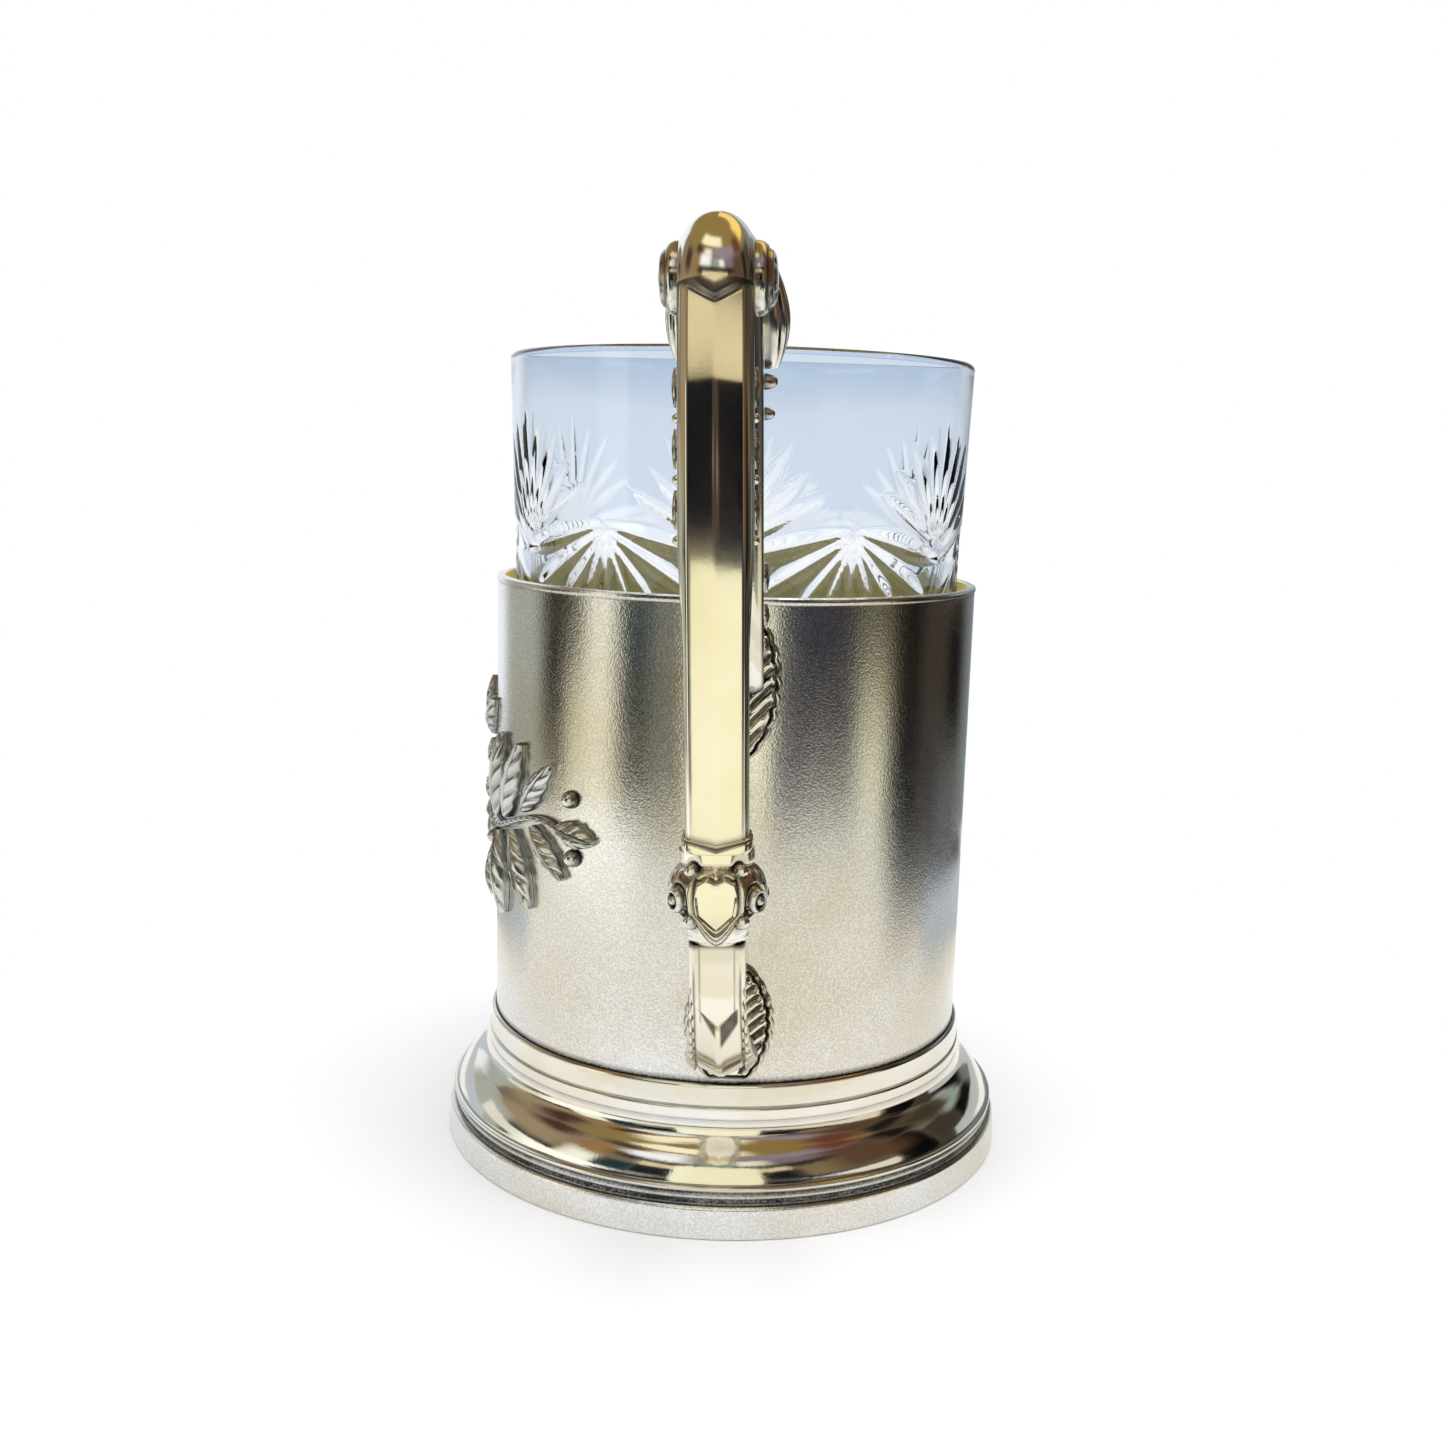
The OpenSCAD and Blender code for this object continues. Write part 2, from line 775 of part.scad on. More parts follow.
module sleeve() {
    // Lip's outline: share of the wall from the bore, share of the lip's height from its top
    inner_share = 0.25;
    outer_share = 0.7;
    low_share = 0.7;
    high_share = 0.3;
    lip_r = sleeve_r + lip_out;
    color(silver)
        turned([
            [bore_r, shoulder_z],
            [sleeve_r, shoulder_z],
            [sleeve_r, sleeve_top - lip_h],
            [lip_r, sleeve_top - lip_h * low_share],
            [lip_r, sleeve_top - lip_h * high_share],
            [bore_r + sleeve_wall * outer_share, sleeve_top],
            [bore_r + sleeve_wall * inner_share, sleeve_top],
            [bore_r, sleeve_top - lip_h * high_share],
        ]);
}

module foot_collar() {
    low = sleeve_r + collar_out;
    step_share = 0.3;
    step_end_share = 0.36;
    step_in_share = 0.4;
    bevel_share = 0.9;
    color(silver)
        turned([
            [seat_r, shoulder_z],
            [low, shoulder_z],
            [low, shoulder_z + collar_h * step_share],
            [low - collar_taper * step_in_share, shoulder_z + collar_h * step_end_share],
            [low - collar_taper, shoulder_z + collar_h * bevel_share],
            [seat_r + seam, shoulder_z + collar_h],
            [seat_r, shoulder_z + collar_h],
        ]);
}

module foot_flare() {
    top_r = sleeve_r + collar_out;
    ledge_r = bore_r - sleeve_wall;
    cove = arc([top_r + cove_r, shoulder_z], cove_r, 180, 225, 6);
    cove_end = cove[len(cove) - 1];
    edge = [flare_r, groove_top];
    belly = 0.3;
    steps = 5;
    swell = [
        for (i = [1:steps])
            mix(cove_end, edge, i / steps) + [belly, belly] * sin(180 * i / steps)
    ];
    // Shares of the sheet's thickness at the inner curve, the edge, the bend and the ledge
    wall_shares = [0.4, 1.6, 1.6, 1.2];
    inner_cove = arc(
        [top_r + cove_r, shoulder_z - spun_wall * wall_shares[0]], cove_r + spun_wall, 180, 225, 6
    );
    color(silver)
        turned(concat(
            cove, swell,
            [[flare_r - spun_wall * wall_shares[1], groove_top]],
            [for (i = [len(inner_cove) - 1:-1:1]) inner_cove[i]],
            [[top_r - spun_wall, shoulder_z - spun_wall * wall_shares[2]]],
            [[ledge_r, shoulder_z - spun_wall * wall_shares[3]], [ledge_r, shoulder_z]]
        ));
}

module foot_band() {
    inner = foot_r - band_w;
    back = foot_r - groove_depth;
    bevel = band_taper;
    low_share = 0.15;
    high_share = 0.9;
    color(silver)
        turned([
            [inner, 0],
            [foot_r - bevel, 0],
            [foot_r, bevel],
            [foot_r - band_taper, band_h - bevel],
            [foot_r - band_taper * 2, band_h],
            [back, band_h + groove_h * low_share],
            [back, band_h + groove_h * high_share],
            [back - seam, groove_top],
            [inner, groove_top],
        ]);
}

module seat_floor() {
    color(silver)
        translate([0, 0, shoulder_z])
            cylinder(r = bore_r - seam, h = floor_t);
}

// Outside radius of the glass at a height above the table
function glass_r(z) = mix(glass_foot_r, mouth_r, (z - floor_top) / (mouth_z - floor_top));

module tea_glass() {
    low_z = floor_top + base_t;
    low_r = glass_r(low_z) - low_wall;
    round_z = low_z + inner_round;
    round_r = glass_r(round_z) - low_wall;
    rim = mouth_wall / 2;
    stand_r = glass_foot_r - foot_bevel;
    color(crystal)
        turned(concat(
            [[0, floor_top + push_up], [stand_r - stand_w - push_up, floor_top + push_up]],
            [[stand_r - stand_w, floor_top], [stand_r, floor_top]],
            [[glass_r(floor_top + foot_bevel), floor_top + foot_bevel]],
            [[glass_r(mouth_z - rim), mouth_z - rim]],
            arc([glass_r(mouth_z) - rim, mouth_z - rim], rim, 30, 150, 4),
            [[glass_r(mouth_z) - mouth_wall, mouth_z - rim]],
            arc([round_r - inner_round, round_z], inner_round, 0, -90, 8),
            [[0, low_z]]
        ));
}

sleeve();
foot_collar();
foot_flare();
foot_band();
seat_floor();
handle_bar();
thumb_scroll();
scroll_cheeks();
thumb_leaves();
handle_arm();
upper_leaf_plate();
bar_garland();
arm_garland();
handle_ferrule();
handle_knot();
knot_pearls();
knot_eyes();
handle_leg();
lower_leaf_plate();
rosette_petals();
rosette_boss();
spray_stems();
spray_leaves();
spray_finials();
spray_berries();
tea_glass();
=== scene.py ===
"""Looks of a silver tea glass holder and its cut glass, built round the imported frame.

The arithmetic is in millimetres, the scene in metres. The table is z = 0 and the handle
points to -Y. A place in the handle's plane is [distance from the axis, height].
"""

import logging
from dataclasses import dataclass
from enum import Enum
from math import asin, cos, radians, sin
from typing import Callable, Optional, Sequence, Union

import bpy
import numpy as np
from mathutils import Matrix, Vector


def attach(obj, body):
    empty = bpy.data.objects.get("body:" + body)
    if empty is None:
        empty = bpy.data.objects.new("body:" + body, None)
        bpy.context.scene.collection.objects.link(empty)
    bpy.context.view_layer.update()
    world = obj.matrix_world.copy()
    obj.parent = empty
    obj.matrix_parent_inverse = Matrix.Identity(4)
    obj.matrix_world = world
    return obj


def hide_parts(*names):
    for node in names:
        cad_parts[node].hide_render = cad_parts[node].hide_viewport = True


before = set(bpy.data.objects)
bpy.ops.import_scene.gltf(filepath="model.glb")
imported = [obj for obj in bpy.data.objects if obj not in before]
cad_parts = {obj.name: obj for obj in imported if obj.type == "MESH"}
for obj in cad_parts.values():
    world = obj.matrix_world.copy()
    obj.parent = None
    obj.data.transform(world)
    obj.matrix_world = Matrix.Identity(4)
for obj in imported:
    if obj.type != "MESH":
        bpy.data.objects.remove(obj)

Array = np.ndarray
Number = Union[float, np.ndarray]
Colour = tuple[float, float, float]

# One millimetre, in metres
MM = 0.001
# Gap left at a soldered seam
SEAM = 0.05
# Radii of the sleeve's outside, of its bore, and of what is soldered on it
SLEEVE_R = 35.0
BORE_R = 34.0
SEAT_R = SLEEVE_R + SEAM

log = logging.getLogger("tea_glass_holder")


# Numbers and curves


def mix(a: Number, b: Number, t: Number) -> Number:
    """Value between a and b at the share t: a + (b - a) t."""
    return a + (b - a) * t


def smooth(low: float, high: float, x: Array) -> Array:
    """Smooth step from 0 at low to 1 at high: 3 t^2 - 2 t^3 of the share t between them."""
    t = np.clip((x - low) / (high - low), 0, 1)
    return t * t * (3 - 2 * t)


def bell(x: Array, width: float) -> Array:
    """Bell curve of height 1 round zero: e to the power of minus the square of x / width."""
    return np.exp(-(x / width) ** 2)


def unit(v: Array) -> Array:
    """Vectors along the last axis at length 1."""
    return v / np.maximum(np.linalg.norm(v, axis=-1, keepdims=True), 1e-12)


def bezier(points: Sequence[Sequence[float]], t: Number) -> Array:
    """Points of a cubic curve: (1-t)^3 p0 + 3t(1-t)^2 p1 + 3t^2(1-t) p2 + t^3 p3.

    Args:
        points: The four control points.
        t: Shares along the curve.

    Returns:
        Points, shaped as t with the points' own axis added.
    """
    p = np.asarray(points, float)
    t = np.asarray(t, float)[..., None]
    return (p[0] * (1 - t) ** 3 + p[1] * 3 * t * (1 - t) ** 2
            + p[2] * 3 * t * t * (1 - t) + p[3] * t ** 3)


def bezier_slope(points: Sequence[Sequence[float]], t: Number) -> Array:
    """Directions of the same curve: its derivative, at length 1.

    Args:
        points: The four control points.
        t: Shares along the curve.

    Returns:
        Directions, shaped as the points.
    """
    p = np.asarray(points, float)
    t = np.asarray(t, float)[..., None]
    return unit((p[1] - p[0]) * 3 * (1 - t) ** 2 + (p[2] - p[1]) * 6 * t * (1 - t)
                + (p[3] - p[2]) * 3 * t * t)


def around(r: Number, turn: Number, z: Number) -> Array:
    """Points at a radius, a turn from the handle's bearing and a height.

    A point is (r sin turn, -r cos turn, z).

    Args:
        r: Distance from the axis.
        turn: Bearing in radians, 0 towards the handle, positive to the right.
        z: Height.

    Returns:
        Points, shaped as the three together with an axis of 3 added.
    """
    r, turn, z = np.broadcast_arrays(r, turn, z)
    return np.stack([r * np.sin(turn), -r * np.cos(turn), z], axis=-1)


def linear(colour: Colour) -> tuple[float, float, float, float]:
    """Scene-linear colour of a colour given as it shows on a screen.

    Each part c is c / 12.92 up to 0.04045, and above it (c + 0.055) / 1.055 to the power 2.4.

    Args:
        colour: Red, green and blue as shown.

    Returns:
        Red, green, blue and an alpha of 1.
    """
    c = np.asarray(colour, float)
    c = np.where(c <= 0.04045, c / 12.92, ((c + 0.055) / 1.055) ** 2.4)
    return (float(c[0]), float(c[1]), float(c[2]), 1.0)


# Meshes


# Carries the points of a flat-laid solid to their place
Placing = Callable[[Array], Array]


@dataclass
class Skin:
    """Points of a mesh in millimetres, its faces, and the state of its metal at each point.

    The state is 1 where it is darkest, 0 where it is clean, and -1 where it is gilt. The
    darkness is oxide in its hollows and, in a few places, painted shade. The gilt also
    carries a faint painted glow.
    """

    points: Array
    quads: Array
    tris: Array
    oxide_and_shade: Array

    def volume(self) -> float:
        """Volume inside: a sixth of the sum of a . (b x c) over the triangles.

        Returns:
            The volume in cubic millimetres, negative where the faces point inwards.
        """
        tris = np.concatenate([self.quads[:, [0, 1, 2]], self.quads[:, [0, 2, 3]], self.tris])
        a, b, c = (self.points[tris[:, i]] for i in range(3))
        return float(np.einsum("ij,ij->i", a, np.cross(b, c)).sum() / 6)

    def outwards(self) -> "Skin":
        """Turns the faces outwards.

        Returns:
            The same skin.
        """
        if self.volume() < 0:
            self.quads, self.tris = self.quads[:, ::-1], self.tris[:, ::-1]
        return self

    def mirrored(self) -> "Skin":
        """The skin on the other side of the handle's plane."""
        return Skin(self.points * [-1, 1, 1], self.quads[:, ::-1], self.tris[:, ::-1], self.oxide_and_shade)


def joined(skins: Sequence[Skin]) -> Skin:
    """Puts several skins into one, each still a solid of its own.

    Args:
        skins: The skins.

    Returns:
        One skin with all their points and faces.
    """
    starts = np.cumsum([0] + [len(s.points) for s in skins[:-1]])
    return Skin(
        np.concatenate([s.points for s in skins]),
        np.concatenate([s.quads + n for s, n in zip(skins, starts)]),
        np.concatenate([s.tris + n for s, n in zip(skins, starts)]),
        np.concatenate([s.oxide_and_shade for s in skins]),
    )


def grid_quads(rows: int, columns: int, wrap_rows: bool = False) -> Array:
    """Faces of a grid of points whose columns run round and close.

    Face (i, j) joins points (i, j), (i + 1, j), (i + 1, j + 1) and (i, j + 1).

    Args:
        rows: Rows of points.
        columns: Points in a row.
        wrap_rows: Whether the last row joins the first.

    Returns:
        Point numbers, shaped (faces, 4).
    """
    i, j = np.meshgrid(np.arange(rows if wrap_rows else rows - 1), np.arange(columns),
                       indexing="ij")
    below, beside = (i + 1) % rows, (j + 1) % columns
    quads = np.stack([i * columns + j, below * columns + j,
                      below * columns + beside, i * columns + beside], axis=-1)
    return quads.reshape(-1, 4)


def swept(rings: Array, oxide_and_shade: Number = 0.0) -> Skin:
    """Solid through rings of points, each end closed by a fan to its ring's middle.

    Args:
        rings: Points, shaped (rings, points, 3).
        oxide_and_shade: Darkness for all points, or one value for each.

    Returns:
        The closed skin, faces outwards.
    """
    rows, columns = rings.shape[:2]
    dark = np.broadcast_to(oxide_and_shade, (rows, columns)).reshape(-1)
    ends = rings[[0, -1]].mean(axis=1)
    j = np.arange(columns)
    low, high = rows * columns, rows * columns + 1
    first = np.stack([np.full(columns, low), j, (j + 1) % columns], axis=1)
    last = np.stack([np.full(columns, high), low - columns + (j + 1) % columns,
                     low - columns + j], axis=1)
    return Skin(
        np.concatenate([rings.reshape(-1, 3), ends]), grid_quads(rows, columns),
        np.concatenate([first, last]), np.concatenate([dark, [dark[0], dark[-1]]]),
    ).outwards()


def turned(outline: Array, oxide_and_shade: Number = 0.0, segments: int = 192,
           on_axis: bool = False) -> Skin:
    """Solid of revolution: an outline of [radius, height] carried round the Z axis.

    Args:
        outline: Closed outline, or one from axis to axis where on_axis is set.
        oxide_and_shade: State of the metal, for all points or for each outline point.
        segments: Steps round the axis.
        on_axis: Whether the first and last points lie on the axis.

    Returns:
        The closed skin, faces outwards.
    """
    outline = np.asarray(outline, float)
    dark = np.broadcast_to(oxide_and_shade, (len(outline),))
    body = outline[1:-1] if on_axis else outline
    shade = dark[1:-1] if on_axis else dark
    a = np.linspace(0, 2 * np.pi, segments, endpoint=False)
    points = around(body[:, :1], a, body[:, 1:])
    if not on_axis:
        return Skin(points.reshape(-1, 3), grid_quads(len(body), segments, True),
                    np.zeros((0, 3), int), np.repeat(shade, segments)).outwards()
    skin = swept(points, np.repeat(shade[:, None], segments, axis=1))
    skin.points[-2:, 2] = outline[[0, -1], 1]
    return skin.outwards()


def rounded(sections: Array, reach: float = 0.4, arc: int = 4, side: int = 3) -> Array:
    """Sections with each corner turned into a short curve and each side cut into steps.

    The curve is quadratic: it starts and ends at the reach from the corner, or at 0.45 of the
    side where that is less, and has the corner as its middle control point.

    Args:
        sections: Corners, shaped (sections, corners, 2).
        reach: Distance from a corner at which its curve starts.
        arc: Steps in a curve.
        side: Steps in what is left of a side.

    Returns:
        Points, shaped (sections, corners * (arc + side), 2).
    """
    def toward(other: Array) -> Array:
        """Point on the side to another corner at which the curve ends.

        Args:
            other: The corners' neighbours.

        Returns:
            Points, shaped as the sections.
        """
        way = other - sections
        length = np.linalg.norm(way, axis=-1, keepdims=True)
        return sections + way * np.minimum(reach / np.maximum(length, 1e-9), 0.45)

    start, end = toward(np.roll(sections, 1, axis=1)), toward(np.roll(sections, -1, axis=1))
    t = np.linspace(0, 1, arc + 1)[:, None]
    curve = (start[:, :, None] * (1 - t) ** 2 + 2 * sections[:, :, None] * t * (1 - t)
             + end[:, :, None] * t * t)
    u = (np.arange(1, side) / side)[:, None]
    following = np.roll(start, -1, axis=1)
    straight = end[:, :, None] + (following - end)[:, :, None] * u
    return np.concatenate([curve, straight], axis=2).reshape(len(sections), -1, 2)


def supported(outline: Array, oxide_and_shade: Sequence[float],
              reach: float = 0.09) -> tuple[Array, Array]:
    """Closed outline with a point near each end of every long side, so that flats stay flat.

    Args:
        outline: Corners of [radius, height].
        oxide_and_shade: State of the metal at each corner.
        reach: Distance of the new points from their corner.

    Returns:
        The outline and the states with the new points in their places.
    """
    points, states = [], []
    for here, following, state, after in zip(outline, np.roll(outline, -1, axis=0),
                                             oxide_and_shade, np.roll(oxide_and_shade, -1)):
        share = reach / max(np.linalg.norm(following - here), 1e-9)
        shares = [0.0, share, 1 - share] if share < 0.33 else [0.0]
        points += [mix(here, following, t) for t in shares]
        states += [mix(state, after, t) for t in shares]
    return np.array(points), np.array(states)


def in_handle(centres: Array, ways: Array, sections: Array) -> Array:
    """Section points [across, outwards] set square to a path in the handle's plane.

    Args:
        centres: Path points, shaped (rings, 2).
        ways: Path directions, shaped (rings, 2).
        sections: Section points, shaped (rings, points, 2).

    Returns:
        Points in space, shaped (rings, points, 3).
    """
    out = sections[..., 1]
    return np.stack([
        sections[..., 0],
        -(centres[:, None, 0] + out * ways[:, None, 1]),
        centres[:, None, 1] - out * ways[:, None, 0],
    ], axis=-1)


def seated(grid: Array, radius: float) -> Array:
    """Brings points that lie inside a cylinder round the axis out to it, along Y.

    A point's y is at most minus the root of radius^2 - x^2.

    Args:
        grid: Points in space.
        radius: Radius of the cylinder.

    Returns:
        The points, shaped as they were.
    """
    face = -np.sqrt(np.maximum(radius ** 2 - grid[..., 0] ** 2, 0))
    grid = grid.copy()
    grid[..., 1] = np.minimum(grid[..., 1], face)
    return grid


def dome(profile: Sequence[Sequence[float]], oxide_and_shade: Number, segments: int = 40) -> Skin:
    """Turned dome on the level z = 0.

    Args:
        profile: [radius, height] from the edge to the top.
        oxide_and_shade: State of the metal, for all points or for each of the profile's.
        segments: Steps round the dome.

    Returns:
        The closed skin.
    """
    outline = np.concatenate([[[0, 0]], np.asarray(profile, float)])
    dark = np.concatenate([[1.0], np.broadcast_to(oxide_and_shade, (len(profile),))])
    return turned(outline, dark, segments, on_axis=True)


def bead_profile(radius: float, rise: float, steps: int = 9) -> Array:
    """Profile of a bead: a quarter of an ellipse from its edge to its top."""
    a = np.linspace(0, np.pi / 2, steps)
    return np.stack([radius * np.cos(a), rise * np.sin(a)], axis=1)


def placed(skin: Skin, place: Placing) -> Skin:
    """Skin with its points carried through a placing function."""
    return Skin(place(skin.points), skin.quads, skin.tris, skin.oxide_and_shade).outwards()


def stood(turn: float, radius: float, level: float,
          middle: Sequence[float] = (0.0, 0.0)) -> Placing:
    """Stands a dome on an upright cylinder.

    The dome's height goes outwards along the bearing, its x round the cylinder and its y up.

    Args:
        turn: Bearing of the dome in radians, 0 towards the handle.
        radius: Radius of the cylinder.
        level: Height of the dome's middle.
        middle: Where the cylinder stands, [x, y].

    Returns:
        The placing function.
    """
    def carry(points: Array) -> Array:
        """Points of the dome at their place.

        Args:
            points: Points of the dome.

        Returns:
            Points in space.
        """
        r, across = radius + points[:, 2], points[:, 0]
        return np.stack([middle[0] + r * sin(turn) + across * cos(turn),
                         middle[1] - r * cos(turn) + across * sin(turn),
                         level + points[:, 1]], axis=-1)
    return carry


# Materials


class Value:
    """A number socket in a node tree that can be used in sums."""

    def __init__(self, tree: bpy.types.NodeTree, socket: bpy.types.NodeSocket) -> None:
        """Keeps the tree and the socket."""
        self.tree = tree
        self.socket = socket

    def _math(self, operation: str, *terms: Union[float, "Value"]) -> "Value":
        """Adds a Math node over the terms and gives its result.

        Args:
            operation: The node's operation.
            *terms: Numbers or sockets, in the node's order.

        Returns:
            The node's result.
        """
        node = self.tree.nodes.new("ShaderNodeMath")
        node.operation = operation
        for slot, term in zip(node.inputs, terms):
            if isinstance(term, Value):
                self.tree.links.new(term.socket, slot)
            else:
                slot.default_value = term
        return Value(self.tree, node.outputs[0])

    def __add__(self, other: Union[float, "Value"]) -> "Value":
        """Sum."""
        return self._math("ADD", self, other)

    def __radd__(self, other: float) -> "Value":
        """Sum with a number on the left."""
        return self._math("ADD", other, self)

    def __sub__(self, other: Union[float, "Value"]) -> "Value":
        """Difference."""
        return self._math("SUBTRACT", self, other)

    def __rsub__(self, other: float) -> "Value":
        """Difference from a number on the left."""
        return self._math("SUBTRACT", other, self)

    def __mul__(self, other: Union[float, "Value"]) -> "Value":
        """Product."""
        return self._math("MULTIPLY", self, other)

    def __rmul__(self, other: float) -> "Value":
        """Product with a number on the left."""
        return self._math("MULTIPLY", other, self)

    def clipped(self) -> "Value":
        """The value held between 0 and 1."""
        return self._math("MINIMUM", self._math("MAXIMUM", self, 0.0), 1.0)

    def bearing(self, across: "Value") -> "Value":
        """Angle of the point (self, across) in turns, 0.5 where across points straight on."""
        return self._math("ARCTAN2", self, across) * (0.5 / np.pi) + 0.5

    def step(self, low: float, high: float) -> "Value":
        """Smooth step from 0 at low to 1 at high: 3 t^2 - 2 t^3 of the share t between them.

        Args:
            low: Value at which the step starts.
            high: Value at which it ends.

        Returns:
            The step.
        """
        node = self.tree.nodes.new("ShaderNodeMapRange")
        node.interpolation_type = "SMOOTHSTEP"
        node.inputs["From Min"].default_value = low
        node.inputs["From Max"].default_value = high
        self.tree.links.new(self.socket, node.inputs["Value"])
        return Value(self.tree, node.outputs["Result"])


# A colour, or the socket that gives one
Paint = Union[tuple, bpy.types.NodeSocket]


class NodeTree:
    """A node tree that is filled from nothing."""

    def __init__(self, tree: bpy.types.NodeTree) -> None:
        """Keeps the tree and empties it."""
        self.tree = tree
        self.tree.nodes.clear()

    def node(self, kind: str, settings: Optional[dict] = None,
             inputs: Optional[dict] = None) -> bpy.types.Node:
        """Adds a node.

        Args:
            kind: Type of the node.
            settings: Its own settings, set first.
            inputs: Values or links for its sockets, by name or number.

        Returns:
            The node.
        """
        node = self.tree.nodes.new(kind)
        for name, value in (settings or {}).items():
            setattr(node, name, value)
        for name, value in (inputs or {}).items():
            socket = node.inputs[name]
            if isinstance(value, Value):
                self.tree.links.new(value.socket, socket)
            elif isinstance(value, bpy.types.NodeSocket):
                self.tree.links.new(value, socket)
            else:
                socket.default_value = value
        return node

    def seen(self) -> Value:
        """1 for rays from the camera, from a reflection or through glass, 0 for others.

        Returns:
            The mask.
        """
        path = self.node("ShaderNodeLightPath")
        rays = ("Is Camera Ray", "Is Glossy Ray", "Is Transmission Ray")
        return sum((Value(self.tree, path.outputs[kind]) for kind in rays), 0.0).clipped()


class Shader(NodeTree):
    """A material's node tree, with its output already in place."""

    def __init__(self, name: str) -> None:
        """Makes the material and starts its tree.

        Args:
            name: The material's name.
        """
        self.material = bpy.data.materials.new(name)
        self.material.use_nodes = True
        super().__init__(self.material.node_tree)
        self.output = self.node("ShaderNodeOutputMaterial")
        self.place = self.node("ShaderNodeTexCoord").outputs["Object"]

    def noise(self, scale: float, detail: float = 2.0) -> Value:
        """Noise over the object, about 0 to 1.

        Args:
            scale: Waves in a metre.
            detail: Octaves of finer noise.

        Returns:
            The noise.
        """
        node = self.node("ShaderNodeTexNoise", {},
                         {"Vector": self.place, "Scale": scale, "Detail": detail})
        return Value(self.tree, node.outputs["Fac"])

    def attribute(self, name: str) -> Value:
        """Number kept at the points of the mesh."""
        return Value(self.tree, self.node("ShaderNodeAttribute",
                                          {"attribute_name": name}).outputs["Fac"])

    def blended(self, a: Paint, b: Paint, share: Value) -> bpy.types.NodeSocket:
        """Colour between two others, at a share."""
        node = self.node("ShaderNodeMix", {"data_type": "RGBA"}, {0: share, 6: a, 7: b})
        return node.outputs[2]

    def axes(self) -> tuple[Value, Value, Value]:
        """Place on the object along each axis, in metres."""
        node = self.node("ShaderNodeSeparateXYZ", {}, {0: self.place})
        return tuple(Value(self.tree, node.outputs[i]) for i in range(3))

    def surface(self, shader: bpy.types.NodeSocket) -> bpy.types.Material:
        """Ends the tree in a shader and gives the material."""
        self.tree.links.new(shader, self.output.inputs["Surface"])
        return self.material

    def glowing(self, colour: Paint, strength: float) -> bpy.types.Material:
        """Ends the tree in light of a colour and gives the material."""
        glow = self.node("ShaderNodeEmission", {}, {"Color": colour, "Strength": strength})
        return self.surface(glow.outputs[0])


class Slot(Enum):
    """The material slots."""

    SATIN = "satin_silver"
    POLISHED = "polished_silver"
    WARM = "warm_silver"
    DARK = "dark_silver"
    CRYSTAL = "crystal"


class Body(Enum):
    """The bodies of the frame."""

    HOLDER = "holder"
    GLASS = "glass"


class Crease(Enum):
    """Angle in degrees past which an edge stays sharp, by kind of work."""

    CAST = 30.0
    ROLLED = 35.0
    PLAIN = 38.0
    LEAVES = 45.0
    DOMED = 50.0
    KNOT = 60.0
    CUT_GLASS = 70.0


@dataclass(frozen=True)
class SilverFinish:
    """Silver with a grain, clouds of tarnish, fine wear, dark oxide in its hollows and some painted
    shade.
    """

    name: str
    tint: Colour
    cloud_tint: Colour
    # Colour of the oxide, and of the painted shade that shares its mask
    oxide_and_shade_tint: Colour = (0.16, 0.165, 0.18)
    gilt_tint: Colour = (0.82, 0.76, 0.55)
    # Painted light: a faint glow in the gilt inside of the sleeve and its floor
    gilt_painted_glow: Colour = (0.44, 0.41, 0.28)
    roughness: float = 0.2
    wear: float = 0.1
    grain_scale: float = 2600.0
    grain_depth: float = 0.3
    ripple_depth: float = 0.1
    cloud_scale: float = 45.0
    cloud_edges: tuple[float, float] = (0.38, 0.66)
    speck: float = 0.0
    speck_edges: tuple[float, float] = (0.62, 0.4)
    oxide_and_shade_rough: float = 0.28
    bump_strength: float = 0.35
    bump_reach: float = 0.04 * MM

    def material(self) -> bpy.types.Material:
        """Builds the material.

        Two noises of very different scale cloud the tint and the roughness. The darkness kept at
        the points, oxide in the hollows and in a few places painted shade, darkens and dulls the
        metal, unevenly. Gilt points turn gilt and glow faintly: painted light. Grain and ripple go
        to the bump, and the grain's low spots hold a little oxide.

        Returns:
            The material.
        """
        s = Shader(self.name)
        cloud = s.noise(self.cloud_scale, 4.0).step(*self.cloud_edges)
        smudge = s.noise(self.cloud_scale * 7, 3.0)
        grain = s.noise(self.grain_scale, 2.0)
        ripple = s.noise(self.cloud_scale * 5, 2.0)
        state = s.attribute("oxide_and_shade")
        # The darkness is oxide in the hollows and, in a few places, painted shade
        dark = (state * (0.7 + 0.6 * smudge)).clipped()
        colour = s.blended(linear(self.tint), linear(self.cloud_tint), cloud)
        colour = s.blended(colour, linear(self.gilt_tint), (-1.0 * state).clipped())
        colour = s.blended(colour, linear(self.oxide_and_shade_tint),
                           (dark + self.speck * grain.step(*self.speck_edges)).clipped())
        rough = (self.roughness + self.wear * (smudge - 0.5) + 0.05 * (grain - 0.5)
                 + self.oxide_and_shade_rough * dark).clipped()
        height = self.grain_depth * grain + self.ripple_depth * 12 * ripple
        bump = s.node("ShaderNodeBump", {}, {
            "Strength": self.bump_strength, "Distance": self.bump_reach, "Height": height})
        # Painted light: gilt points glow faintly, as if lit inside the sleeve
        glow = s.blended((0, 0, 0, 1), linear(self.gilt_painted_glow), (-1.0 * state).clipped())
        shader = s.node("ShaderNodeBsdfPrincipled", {}, {
            "Base Color": colour, "Metallic": 1.0, "Roughness": rough,
            "Normal": bump.outputs[0], "Emission Color": glow, "Emission Strength": 1.0,
        })
        return s.surface(shader.outputs[0])


